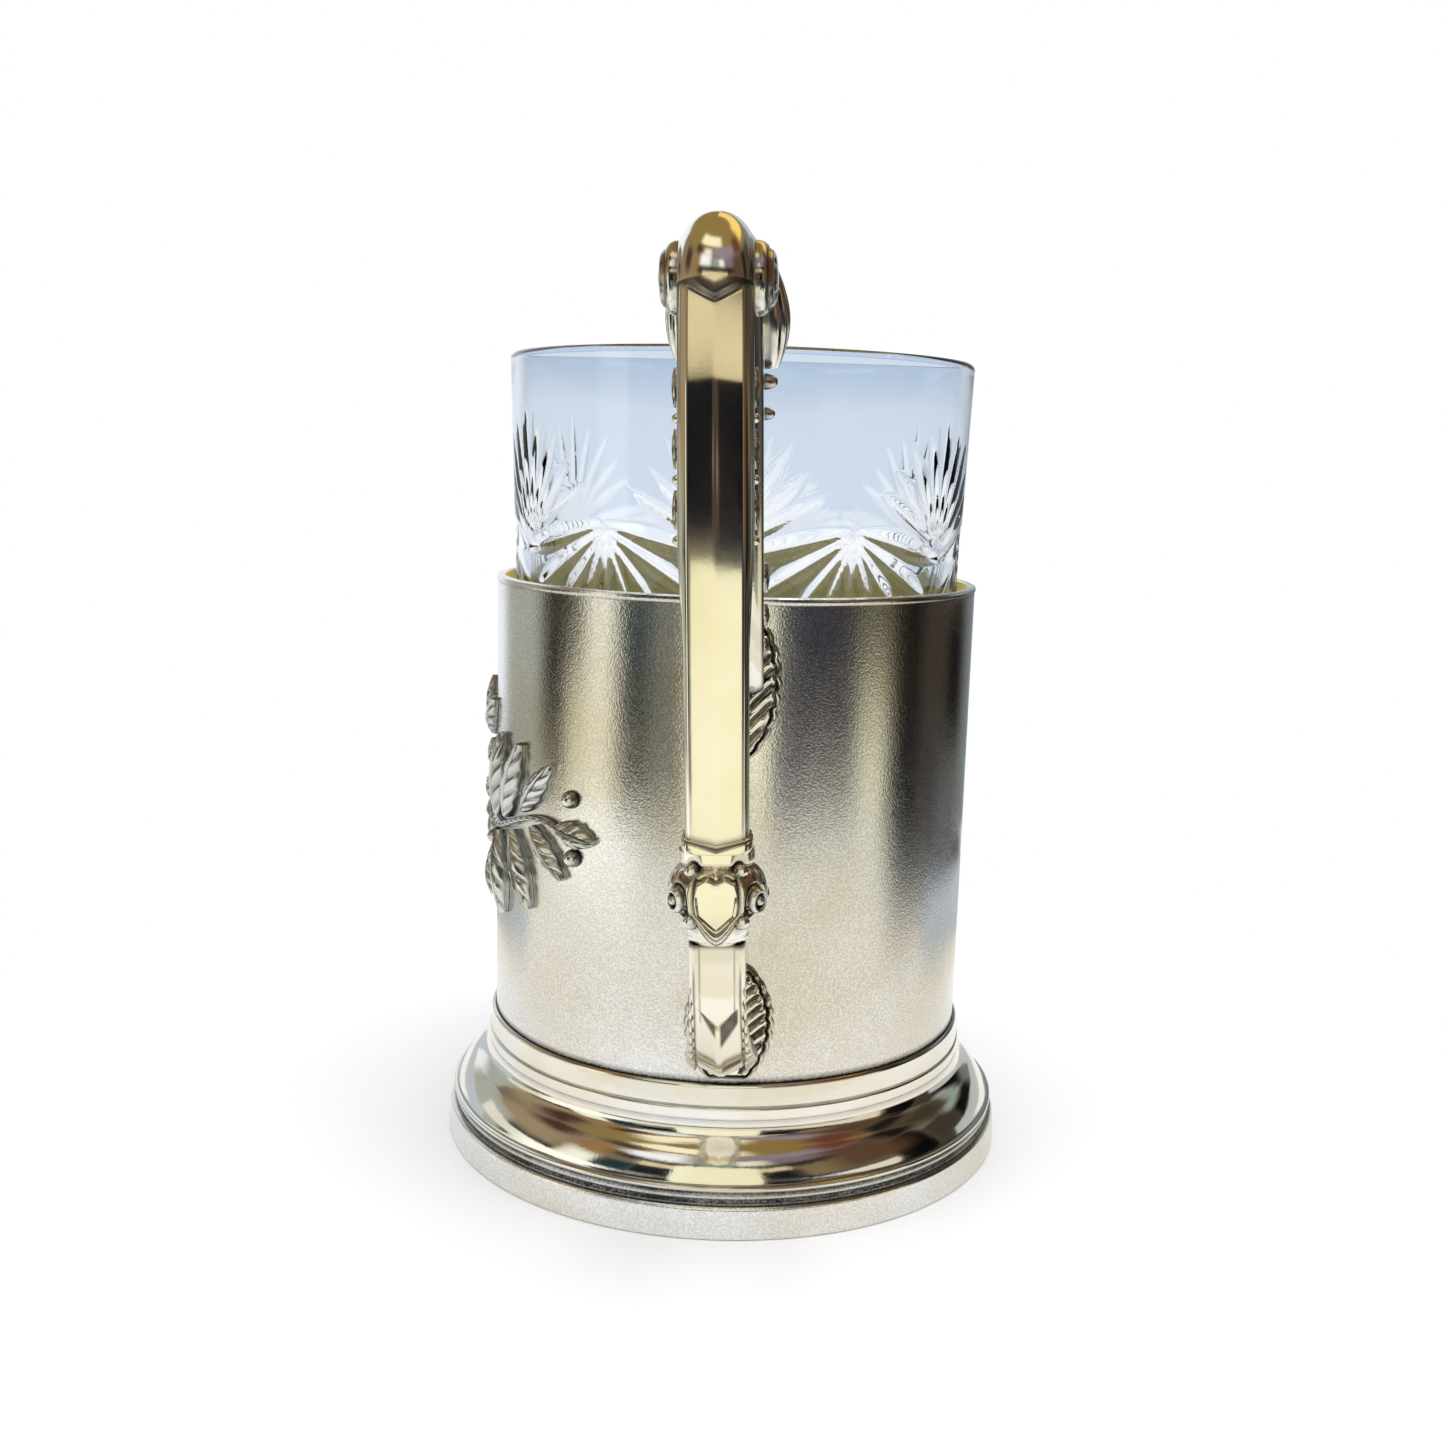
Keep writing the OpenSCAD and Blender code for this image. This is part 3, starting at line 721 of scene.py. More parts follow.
@dataclass(frozen=True)
class CrystalFinish:
    """Clear lead crystal, cold in the uncut wall, with faint water marks."""

    name: str = "cut crystal"
    wall_tint: Colour = (0.835, 0.885, 0.94)
    cut_tint: Colour = (0.985, 0.99, 1.0)
    index: float = 1.54
    mark_scale: float = 160.0
    mark_rough: float = 0.035

    def material(self) -> bpy.types.Material:
        """Builds the material: smooth, except where faint marks dull it a little.

        Returns:
            The material.
        """
        s = Shader(self.name)
        marks = s.noise(self.mark_scale, 3.0).step(0.6, 0.85)
        # For the glass the same attribute marks the cuts and the inner wall, which take the clearer
        # tint
        tint = s.blended(linear(self.wall_tint), linear(self.cut_tint),
                         s.attribute("oxide_and_shade").clipped())
        shader = s.node("ShaderNodeBsdfPrincipled", {}, {
            "Base Color": tint, "Roughness": self.mark_rough * marks,
            "IOR": self.index, "Transmission Weight": 1.0,
        })
        return s.surface(shader.outputs[0])


FINISHES = {
    Slot.SATIN: SilverFinish("satin silver", (0.935, 0.935, 0.93), (0.885, 0.86, 0.79),
                             roughness=0.17, wear=0.08, grain_scale=3600.0, grain_depth=2.0,
                             ripple_depth=0.03, cloud_scale=30.0, speck=0.2),
    Slot.POLISHED: SilverFinish("polished silver", (0.92, 0.915, 0.89), (0.89, 0.865, 0.8),
                                roughness=0.09, wear=0.07),
    # Its brown dark tint serves oxide and the painted shade on the leg and the bar
    Slot.WARM: SilverFinish("warm silver", (0.945, 0.93, 0.88), (0.92, 0.89, 0.8),
                            oxide_and_shade_tint=(0.19, 0.155, 0.14), roughness=0.12, wear=0.06,
                            grain_depth=0.1, ripple_depth=0.05),
    Slot.DARK: SilverFinish("dark silver", (0.88, 0.885, 0.88), (0.78, 0.79, 0.79),
                            roughness=0.2, wear=0.12),
    Slot.CRYSTAL: CrystalFinish(),
}


# Pieces


@dataclass
class Piece:
    """One part of the scene: its skin, finish, body, and the frame's node that it stands for."""

    name: str
    skin: Skin
    slot: Slot
    node: str
    body: Body = Body.HOLDER
    crease: Crease = Crease.PLAIN
    thing: Optional[bpy.types.Object] = None

    def make(self) -> None:
        """Puts the skin into a mesh, smooth-shaded but for sharp creases."""
        skin = self.skin
        mesh = bpy.data.meshes.new(self.name)
        mesh.vertices.add(len(skin.points))
        mesh.vertices.foreach_set("co", (skin.points * MM).astype(np.float32).ravel())
        mesh.loops.add(skin.quads.size + skin.tris.size)
        mesh.loops.foreach_set("vertex_index",
                               np.concatenate([skin.quads.ravel(), skin.tris.ravel()]))
        mesh.polygons.add(len(skin.quads) + len(skin.tris))
        starts = np.concatenate([np.arange(len(skin.quads)) * 4,
                                 skin.quads.size + np.arange(len(skin.tris)) * 3])
        mesh.polygons.foreach_set("loop_start", starts)
        mesh.update(calc_edges=True)
        mesh.validate()
        shade = mesh.attributes.new("oxide_and_shade", "FLOAT", "POINT")
        shade.data.foreach_set("value", np.clip(skin.oxide_and_shade, -1, 1).astype(np.float32))
        mesh.shade_smooth()
        mesh.set_sharp_from_angle(angle=radians(self.crease.value))
        self.thing = bpy.data.objects.new(self.name, mesh)
        bpy.context.scene.collection.objects.link(self.thing)
        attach(self.thing, self.body.value)
        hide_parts(self.node)

    def dress(self, materials: dict[Slot, bpy.types.Material]) -> None:
        """Gives the piece the material of its slot."""
        self.thing.data.materials.append(materials[self.slot])


class SubAssembly:
    """A group of pieces that are built and dressed together."""

    def pieces(self) -> list[Piece]:
        """Works out the pieces."""
        raise NotImplementedError

    def build(self) -> list[Piece]:
        """Works out the pieces and puts them into the scene.

        Returns:
            The pieces.
        """
        made = self.pieces()
        for piece in made:
            piece.make()
        return made

    def dress(self, made: Sequence[Piece], materials: dict[Slot, bpy.types.Material]) -> None:
        """Gives each piece its material and logs it.

        Args:
            made: The pieces.
            materials: The material of each slot.
        """
        for piece in made:
            piece.dress(materials)
            log.info("%s: %d faces", piece.name, len(piece.thing.data.polygons))


@dataclass(frozen=True)
class TurnedBody(SubAssembly):
    """Sleeve, foot and floor, all turned round the axis."""

    # Sleeve: its top, and how far its lip stands out
    top: float = 83.8
    lip_out: float = 0.15
    # Collar: the level of its foot, and how far it stands out of the sleeve
    shoulder: float = 14.0
    collar_out: float = 0.9
    # Flare: its rim and its throat, and steps between two points of its curve
    flare_r: float = 41.3
    throat_r: float = 33.0
    curve_steps: int = 7
    # Band: its outside, its groove, the top of the groove, and its bore
    foot_r: float = 42.0
    groove_r: float = 41.0
    groove_top: float = 6.4
    inner_r: float = 39.0
    # Ring turned in the floor
    ring_r: float = 24.0
    # Steps round the axis
    segments: int = 256

    def sleeve(self) -> Piece:
        """Thin cylinder with a small rolled lip, gilt inside, dark where it meets the collar.

        Returns:
            The piece.
        """
        wall, base, lip = BORE_R - SLEEVE_R, self.shoulder - self.top, self.lip_out
        outline = np.array([
            [wall, base], [0, base], [0, base + 4.9], [0, base + 5.3], [0, base + 5.9],
            [0, -1.25], [0, -0.95], [lip - 0.02, -0.7], [lip, -0.45], [lip - 0.06, -0.2],
            [-0.25, -0.03], [-0.5, 0], [wall + 0.2, -0.04], [wall, -0.25],
        ]) + [SLEEVE_R, self.top]
        dark = [-1, 1, 1, 0.5, 0.05, 0, 0.3, 0.05, 0, 0, 0, 0, -0.3, -1]
        return Piece("sleeve_shell", turned(*supported(outline, dark), self.segments),
                     Slot.SATIN, "sleeve")

    def collar(self) -> Piece:
        """Step ring: a polished band, a fine step, and a lighter band with a bevel.

        Returns:
            The piece.
        """
        bore = SEAM - self.collar_out
        outline = np.array([
            [bore, 0], [-0.02, 0], [0.05, 0.25], [0.05, 1.45], [-0.05, 1.6], [-0.27, 1.66],
            [-0.3, 1.86], [-0.12, 2.0], [-0.3, 4.45], [-0.38, 4.66], [-0.6, 4.82],
            [bore + 0.12, 4.9], [bore, 4.88],
        ]) + [SLEEVE_R + self.collar_out, self.shoulder]
        dark = [1, 0.3, 0.0, 0, 0.05, 0.42, 0.42, 0.05, 0, 0.0, 0.1, 0.7, 1]
        return Piece("foot_collar_ring", turned(*supported(outline, dark), self.segments),
                     Slot.POLISHED, "foot_collar", crease=Crease.DOMED)

    def flare(self) -> Piece:
        """Spun foot: a hollow curve that swells out to two fine step lines at its edge.

        Returns:
            The piece.
        """
        start = np.array([SLEEVE_R + self.collar_out, self.shoulder])
        rim, throat = self.flare_r - start[0], self.throat_r - start[0]
        foot = self.groove_top - start[1]
        curve = [
            [0, 0], [0.03, -0.8], [0.16, -1.3], [0.45, -1.9], [0.9, -2.4], [1.5, -2.9],
            [2.1, -3.35], [2.75, -3.95], [3.35, -4.65], [3.9, -5.4], [4.3, -6.05],
            [4.6, -6.65], [4.72, -6.86],
        ]
        edge = [[4.78, -6.9], [4.84, -7.02], [5.2, -7.05], [5.36, -7.14], [rim, -7.3],
                [rim, foot]]
        under = [[rim - 1.9, foot], [1.8, -4.6], [0.2, -3.4], [-1.0, -1.9], [throat, -1.4],
                 [throat, 0]]
        dark = [0.35] + [0.0] * 11 + [0.1]
        rest_dark = [0.75, 0.5, 0, 0, 0, 0.8] + [0.5] * 6
        fine, known = refined(np.array(curve), self.curve_steps), np.arange(len(curve))
        shade = np.interp(np.linspace(0, known[-1], len(fine)), known, dark)
        return Piece("foot_flare_shell",
                     turned(np.concatenate([fine, edge + under]) + start,
                            np.concatenate([shade, rest_dark]), 2 * self.segments),
                     Slot.POLISHED, "foot_flare", crease=Crease.DOMED)

    def band(self) -> Piece:
        """Satin ring on the table, a bright bevel at its top and a dark groove above.

        Returns:
            The piece.
        """
        bore, g, top = self.inner_r - self.foot_r, self.groove_r - self.foot_r, self.groove_top
        outline = np.array([
            [bore, 0], [-0.25, 0], [-0.08, 0.08], [0, 0.25], [-0.18, 4.0], [-0.25, 4.22],
            [-0.45, 4.46], [g + 0.1, 4.55], [g, 4.8], [g - 0.02, 5.2], [g + 0.12, 5.45],
            [g + 0.12, 5.75], [g - 0.03, 6.1], [g - 0.03, top], [bore, top],
        ]) + [self.foot_r, 0]
        dark = [0.4, 0.3, 0.1, 0, 0, 0, 0.0, 0.5, 0.85, 0.8, 0.3, 0.3, 0.8, 0.8, 0.5]
        return Piece("foot_band_ring", turned(*supported(outline, dark), self.segments),
                     Slot.SATIN, "foot_band")

    def floor(self) -> Piece:
        """Disc that the glass stands on, with a turned ring in it.

        Returns:
            The piece.
        """
        z, r = self.shoulder, BORE_R - SEAM
        outline = [[0, z], [r - 0.1, z], [r, z + 0.1], [r, z + 0.9], [r - 0.1, z + 1],
                   [self.ring_r + 0.3, z + 1], [self.ring_r, z + 0.85],
                   [self.ring_r - 0.3, z + 1], [0, z + 1]]
        return Piece("seat_floor_disc", turned(outline, -0.9, 128, on_axis=True),
                     Slot.SATIN, "seat_floor")

    def pieces(self) -> list[Piece]:
        """The five turned pieces."""
        return [self.sleeve(), self.collar(), self.flare(), self.band(), self.floor()]


def refined(outline: Array, steps: int) -> Array:
    """Catmull-Rom curve through points.

    Between two points it is the cubic whose slope at each is half the way between the
    neighbours of that point.

    Args:
        outline: Points of the curve.
        steps: Steps between neighbours.

    Returns:
        Points: the steps of each stretch, and the last point.
    """
    p = np.concatenate([[2 * outline[0] - outline[1]], outline, [2 * outline[-1] - outline[-2]]])
    t = (np.arange(steps) / steps)[:, None]
    a, b, c, d = (p[i:len(p) - 3 + i, None] for i in range(4))
    curve = 0.5 * (2 * b + (c - a) * t + (2 * a - 5 * b + 4 * c - d) * t ** 2
                   + (3 * b - a - 3 * c + d) * t ** 3)
    return np.concatenate([curve.reshape(-1, outline.shape[1]), outline[-1:]])


# Leaves


def backed(front: Array, back: Array) -> Array:
    """Rings that run along a back and return over a front."""
    return np.concatenate([back + 0 * front, front[:, ::-1]], axis=1)


def leaf_wide(t: Array, tip: float, power: float) -> Array:
    """Half width of a leaf at a share of its length, as a share of the largest."""
    return mix(tip, 1, np.sin(np.pi * mix(0.03, 0.97, t)) ** power)


def leaf_thick(t: Array, low: float) -> Array:
    """Thickness of a leaf at a share of its length, as a share of the largest."""
    return mix(low, 1, np.sin(np.pi * mix(0.12, 0.88, t)))


class LeafForm(Enum):
    """How a leaf is worked."""

    VEINED = "a midrib with slanting side veins"
    PLUMED = "strands that run its length"
    PETAL = "a hollow petal with a raised edge"


@dataclass(frozen=True)
class Leaf:
    """A flat-backed cast leaf between two points of a plane, raised in the middle."""

    width: float
    rise: float
    form: LeafForm = LeafForm.VEINED
    power: float = 0.85
    count: float = 4.0
    along: int = 40
    across: int = 33
    back_oxide: float = 0.3

    def worked(self, t: Array, k: Array) -> tuple[Array, Array]:
        """How deep the worked pattern goes, and how dark it is, at shares t along, k across.

        Veined: a groove at each side of the midrib, and side veins that slant forwards.
        Plumed: strands between sharp grooves, which fan a little. Petal: a hollow inside an
        edge, with a short midrib.

        Args:
            t: Shares of the length, from the root.
            k: Shares of the half width, from -1 to 1.

        Returns:
            The depth as a share of the thickness, and the darkness.
        """
        side = np.abs(k)
        if self.form is LeafForm.PLUMED:
            strand = np.abs(np.sin(np.pi * self.count / 2 * (k * mix(1.0, 0.8, t) + 0.25 * t)))
            groove = (1 - strand) ** 2
            return 0.42 * groove, 0.8 * groove ** 1.5
        if self.form is LeafForm.PETAL:
            hollow = bell(side - 0.35, 0.3) * smooth(0.05, 0.4, t) * smooth(1.0, 0.75, t)
            return 0.34 * hollow, 0.75 * bell(side - 0.28, 0.16) * smooth(0.95, 0.5, t)
        beside = bell(side - 0.17, 0.075)
        wave = 0.5 + 0.5 * np.cos(2 * np.pi * (self.count * t - 0.9 * side))
        veins = wave ** 3 * smooth(0.16, 0.36, side) * smooth(0.02, 0.12, t)
        return 0.3 * beside + 0.26 * veins, np.maximum(0.6 * beside, 0.45 * veins)

    def skin(self, start: Sequence[float], end: Sequence[float],
             place: Callable[[Array, Array, Array], Array]) -> Skin:
        """Builds the leaf.

        A ring at share t along is the flat back and, above it, the rise times the thickness
        there, falling with the square of the share across, less the worked depth.

        Args:
            start: Root, in the plane.
            end: Tip, in the plane.
            place: Carries [along the plane, up the plane, out of it] into space.

        Returns:
            The closed skin.
        """
        start, end = np.asarray(start, float), np.asarray(end, float)
        axis = unit(end - start)
        long = np.linalg.norm(end - start)
        t = np.linspace(0, 1, self.along)[:, None]
        k = np.linspace(-1, 1, self.across)[None]
        scallop = 1 - 0.09 * (0.5 + 0.5 * np.cos(2 * np.pi * self.count * t)) * (
            self.form is LeafForm.VEINED)
        half = self.width / 2 * leaf_wide(t, 0.1, self.power) * scallop
        depth, shade = self.worked(t, k)
        top = self.rise * leaf_thick(t, 0.3) * (1 - 0.62 * k * k) * (1 - depth)
        dark = np.maximum(shade, 0.6 * smooth(0.84, 1.0, np.abs(k))) + 0 * t
        across, way = backed(k, k), np.array([-axis[1], axis[0]])
        x, y = (start[i] + axis[i] * long * t + way[i] * half * across for i in range(2))
        return swept(place(x, y, backed(top, 0.0)), backed(dark, self.back_oxide))


# Handle


BAR_CORNERS = np.array([
    [0, 0, 0.5], [0.9, 0, 0.38], [0.7, 0.3, 0.26], [0, 1, 0.1],
    [0, 1, -0.32], [0, 0.75, -0.46], [0, 0.3, -0.5],
])


def both_halves(half: Array) -> Array:
    """Whole sections from their left-turning halves, shaped (sections, corners, 2)."""
    return np.concatenate([half * [-1, 1], half[:, :0:-1]], axis=1)


def bar_sections(front: Array, side: Array, thick: Array) -> Array:
    """Corners of the ridged section for each front half width, side half width, thickness.

    A corner's x is front q0 + side q1 and its depth is thick q2, with its q from
    BAR_CORNERS.

    Args:
        front: Half widths of the front.
        side: Half widths over the sides.
        thick: Thicknesses.

    Returns:
        Sections, shaped (sections, corners, 2).
    """
    q = BAR_CORNERS
    return both_halves(np.stack([
        front[:, None] * q[:, 0] + side[:, None] * q[:, 1], thick[:, None] * q[:, 2],
    ], axis=-1))


def barrelled(sections: Array, half: float, deep: Array, share: Array) -> Array:
    """Sections whose front is drawn out towards a round barrel.

    A front point moves along its own ray to where (x / half)^2 + ((out + 1) / (deep + 1))^2 = 1,
    by the share given and the more the further forward it lies.

    Args:
        sections: Sections, shaped (sections, points, 2).
        half: Half width of the barrel.
        deep: How far the barrel's front stands out, for each section.
        share: How far each section is drawn out, from 0 to 1.

    Returns:
        The sections, shaped as they were.
    """
    x, out = np.abs(sections[..., 0]), np.maximum(sections[..., 1], 1e-6)
    reach = (deep[:, None] + 1) ** 2
    a, b, c = (x / half) ** 2 + out ** 2 / reach, 2 * out / reach, 1 / reach - 1
    grown = (np.sqrt(b * b - 4 * a * c) - b) / (2 * a)
    weight = share * smooth(0.2, 1.4, sections[..., 1])
    return sections * (1 + (grown - 1) * weight)[..., None]


@dataclass(frozen=True)
class Handle(SubAssembly):
    """Cast ear handle: ridged bar, curl, cheeks, arm, leaves, ferrule, knot and leg."""

    # Bar: its distance from the axis, how far it bows out and leans in, and its two ends
    bar_u: float = 60.0
    bow: float = 1.8
    lean: float = 0.8
    bar_z: float = 59.2
    scroll_z: float = 119.2
    # Half widths of its front, and over its sides above and below
    front: float = 3.5
    side: float = 4.2
    low_side: float = 3.675
    # Thickness of the bar below and at its top, and of the arm
    bar_t: float = 6.0
    top_t: float = 7.4
    arm_t: float = 5.0
    # Curl: its radius, how far it turns, the turn that it starts with, and its barrel
    scroll_r: float = 5.2
    scroll_turn: float = 164.0
    entry: float = radians(6.1)
    barrel_half: float = 4.15
    # Edge under the thumb rest and how it rises to the sides, and the fold below it
    dome_z: float = 117.6
    edge_rise: float = 0.55
    fold_z: float = 109.3
    fold_depth: float = 0.6
    # How far level edges dip at the ridge
    dip: float = 0.75
    # Level at which the arm meets the sleeve
    arm_z: float = 73.0
    # Ferrule: its height, and how far its rolls stand out of the bar
    ferrule_h: float = 3.0
    ferrule_out: float = 0.45
    # Knot: width, height, how far it may reach forward, its necks and its shield
    knot_w: float = 12.1
    knot_h: float = 9.4
    knot_reach: float = 5.55
    neck_front: float = 3.55
    neck_side: float = 4.35
    shield_w: float = 5.1
    shield_low: float = 2.25
    shield_top: float = 7.9
    # Pearls and scroll eyes, and the least radius that an eye sits at
    pearl_r: float = 0.95
    eye_r: float = 1.6
    eye_seat_r: float = 4.1
    # Turn and share of the knot's height of each one on the right side
    pearl_places: tuple[tuple[float, float], ...] = ((42.0, 0.93), (42.0, 0.34))
    eye_places: tuple[tuple[float, float], ...] = ((54.0, 0.58), (114.0, 0.5))
    # Leg: its width, how much it swells and where, thickness, level
    leg_w: float = 6.6
    leg_flare: float = 2.6
    leg_peak: float = 0.72
    leg_t: float = 5.6
    leg_z: float = 26.0
    # Its V: where it lies and how it rises, and the lobes of its wings
    leg_vee: float = 0.285
    vee_rise: float = 0.034
    leg_lobes: int = 16
    # Leaf plates: thickness, and lobes of the edge
    plate_t: float = 1.6
    plate_lobes: int = 9
    # Radius at which the arm and the leg end in their plates
    seat_r: float = 36.7
    # How far what lies behind the bar stands to the right, and the lean of the whole handle
    swing: float = 1.0
    tilt: float = 1.7
    tilt_z: float = 48.5

    @property
    def curl(self) -> Array:
        """Middle of the curl."""
        return np.array([self.bar_u - self.lean - self.scroll_r, self.scroll_z])

    @property
    def arm_path(self) -> list[Array]:
        """Control points of the arm, from the sleeve up to the curl.

        Returns:
            Four points of [distance from the axis, height].
        """
        a, rise = radians(self.scroll_turn), self.scroll_z - self.arm_z
        end = self.curl + self.scroll_r * np.array([cos(a), sin(a)])
        way = np.array([sin(a), -cos(a)])
        root = np.array([SLEEVE_R, self.arm_z])
        return [root, root + rise * np.array([0.17, 0.02]), end - way * rise * 0.5, end]

    @property
    def knot_low(self) -> float:
        """Height of the knot's underside."""
        return self.bar_z - self.ferrule_h - self.knot_h

    def bar_centre(self, t: Number) -> Array:
        """Middle of the bar at a share of its height.

        Its distance from the axis is bar_u - lean t + bow sin(pi t).

        Args:
            t: Shares of the bar's height.

        Returns:
            Points of [distance from the axis, height].
        """
        t = np.asarray(t, float)
        return np.stack([self.bar_u - self.lean * t + self.bow * np.sin(np.pi * t),
                         mix(self.bar_z, self.scroll_z, t)], axis=-1)

    def bar_side(self, t: Array) -> Array:
        """Half width over the bar's sides, which grows in a short stretch."""
        return mix(self.low_side, self.side, np.clip((t - 0.35) / 0.18, 0, 1))

    def leaned(self, points: Array) -> Array:
        """Points turned with the handle, which leans to the left of the sleeve's axis.

        Each is turned by the tilt about the Y axis, round the height tilt_z on the sleeve's axis.

        Args:
            points: Points in space.

        Returns:
            The turned points.
        """
        a, x, z = radians(self.tilt), points[..., 0], points[..., 2] - self.tilt_z
        return np.stack([x * cos(a) - z * sin(a), points[..., 1],
                         self.tilt_z + x * sin(a) + z * cos(a)], axis=-1)

    def swung(self, points: Array) -> Array:
        """Points moved to the right the further they lie behind the bar, up to a limit."""
        aside = self.swing * smooth(57, 46, -points[..., 1])
        return np.stack([points[..., 0] + aside, points[..., 1], points[..., 2]], axis=-1)

    def dipped(self, sections: Array, share: Array) -> Array:
        """How far a level edge sags towards the ridge, by a share for each section."""
        x, out = np.abs(sections[..., 0]), sections[..., 1]
        return share * self.dip * (1 - np.clip(x / self.side, 0, 1)) * smooth(-0.5, 1.5, out)

    def bar(self) -> Piece:
        """Ridged bar. Above a V-shaped edge its front swells into the round thumb rest.

        Its sections follow the bow. The front is drawn out to a barrel above the edge, which
        lies at dome_z + edge_rise |x|. From fold_z up to it the front sinks by a slope that
        starts smoothly.

        Returns:
            The piece.
        """
        t = np.linspace(0, 1 + self.scroll_r * sin(self.entry) / (self.scroll_z - self.bar_z), 340)
        thick = mix(self.bar_t, self.top_t, np.minimum(t, 1) ** 3)
        sections = rounded(bar_sections(np.full_like(t, self.front), self.bar_side(t), thick),
                           0.3, 4, 9)
        z = mix(self.bar_z, self.scroll_z, t)[:, None]
        x, out = np.abs(sections[..., 0]), sections[..., 1]
        past = z - self.dome_z - self.edge_rise * x
        above = smooth(-0.45, 0.45, past)
        up = (z + 0.12 * x - self.fold_z) / (self.dome_z - self.fold_z)
        sunk = self.fold_depth / 2 * (up + np.sqrt(up * up + 0.0009)) * (1 - above)
        shaped = barrelled(sections, self.barrel_half, thick / 2 - 0.04, above)
        shaped[..., 1] -= sunk * smooth(0.3, 1.2, out)
        a = self.entry * smooth(0.86, 1.0, t)
        ways = np.stack([-np.sin(a), np.cos(a)], axis=1)
        grid = in_handle(self.bar_centre(t), ways, shaped)
        grid[..., 2] -= self.dipped(sections, smooth(self.bar_z + 3.5, self.bar_z, z))
        # Dark along the V edge, and above it a painted dark reflection over the thumb rest's lower
        # part
        dome_painted_reflection = 0.8 * smooth(1.7, 1.0, past) * smooth(-0.3, 0.1, past)
        dark = np.maximum(0.9 * bell(past + 0.05, 0.42), dome_painted_reflection) * smooth(0.2, 1.2, out)
        dark = np.maximum(dark, 0.5 * bell(z - self.bar_z, 0.4))
        flank = smooth(3.55, 3.8, x) * smooth(1.3, 0.9, out) * smooth(84, 90, z)
        dark = np.maximum(dark, 0.55 * flank)
        return Piece("handle_bar_cast", swept(grid, dark), Slot.WARM, "handle_bar",
                     crease=Crease.CAST)

    def scroll(self) -> Piece:
        """Curl that turns back over the top, with a round barrel for the thumb.

        Its sections run round an arc of scroll_r, from the bar's end to scroll_turn.

        Returns:
            The piece.
        """
        t = np.linspace(0, 1, 160)
        a = mix(self.entry, np.radians(self.scroll_turn), t)
        thick = mix(self.top_t, self.arm_t, t ** 3)
        sections = rounded(bar_sections(np.full_like(t, self.front), np.full_like(t, self.side),
                                        thick), 0.3, 4, 9)
        share = (1 - smooth(0.62, 0.95, t))[:, None]
        shaped = barrelled(sections, self.barrel_half, thick / 2 - 0.04, share)
        centres = self.curl + self.scroll_r * np.stack([np.cos(a), np.sin(a)], axis=1)
        ways = np.stack([-np.sin(a), np.cos(a)], axis=1)
        side = smooth(3.9, 4.15, np.abs(sections[..., 0])) * smooth(0.8, -0.4, sections[..., 1])
        return Piece("thumb_scroll_cast", swept(in_handle(centres, ways, shaped), 0.65 * side),
                     Slot.WARM, "thumb_scroll", crease=Crease.CAST)

    def on_side(self, place: Array, sign: int) -> Callable[[Array], Array]:
        """Carries a dome on z = 0 to a side face of the handle.

        Args:
            place: [distance from the axis, height].
            sign: 1 for the right side, -1 for the left.

        Returns:
            The placing function.
        """
        def carry(points: Array) -> Array:
            """Points with their height turned to stand out of the side face."""
            return np.stack([sign * (self.side + SEAM + points[:, 2]),
                             -place[0] + points[:, 0], place[1] + points[:, 1]], axis=-1)
        return carry

    def side_plane(self, u: Array, z: Array, out: Array) -> Array:
        """Point of the handle's right side face: distance from the axis, height, and out."""
        return np.stack([self.side + SEAM + out, -u, z], axis=-1)

    def both_sides(self, name: str, node: str, skins: Sequence[Skin]) -> Piece:
        """Polished piece made of skins on the right side and their images on the left."""
        return Piece(name, joined([s for one in skins for s in (one, one.mirrored())]),
                     Slot.POLISHED, node, crease=Crease.LEAVES)

    def cheeks(self) -> Piece:
        """Stepped round cheeks: a button, a groove, a roll, a groove and a rim.

        Returns:
            The piece.
        """
        profile = [[5.0, 0.0], [5.0, 0.35], [4.85, 0.8], [4.55, 1.2], [4.3, 1.32], [4.1, 1.3],
                   [3.95, 1.42], [3.7, 1.85], [3.35, 2.05], [3.0, 1.98], [2.72, 1.7],
                   [2.55, 1.42], [2.35, 1.42], [2.15, 1.75], [1.8, 2.16], [1.2, 2.34],
                   [0.6, 2.39], [0, 2.4]]
        dark = [0.35, 0.3, 0.05, 0.2, 0.7, 0.9, 0.7, 0.15, 0, 0.1, 0.6, 0.95, 0.95, 0.5, 0.1,
                0, 0, 0]
        skin = dome(np.array(profile) * [0.82, 1.0], dark, 72)
        return Piece("scroll_cheek_buttons", joined([
            placed(skin, self.on_side(self.curl + [0.2, 1.5], s)) for s in (-1, 1)
        ]), Slot.POLISHED, "scroll_cheeks", crease=Crease.DOMED)

    def arm(self) -> Piece:
        """Arm from the sleeve up to the curl, ridged on the side towards the glass.

        Its sections are square to a cubic curve, and its root is brought out to the plate.

        Returns:
            The piece.
        """
        path = self.arm_path
        tt = np.linspace(0, 1, 400)
        t = np.linspace(np.interp(self.seat_r, bezier(path, tt)[:, 0], tt), 1, 200)
        full = np.ones_like(t)
        sections = rounded(bar_sections(self.front * full, self.side * full,
                                        self.arm_t * full), 0.35, 4, 3)
        grid = in_handle(bezier(path, t), -bezier_slope(path, t), sections)
        grid = seated(self.leaned(self.swung(grid)), self.seat_r)
        flank = smooth(3.7, 4.1, np.abs(sections[..., 0]))
        dark = np.maximum(0.5 * flank, smooth(0.06, 0.0, t - t[0])[:, None])
        return Piece("handle_arm_cast", swept(grid, dark), Slot.POLISHED, "handle_arm",
                     crease=Crease.CAST)

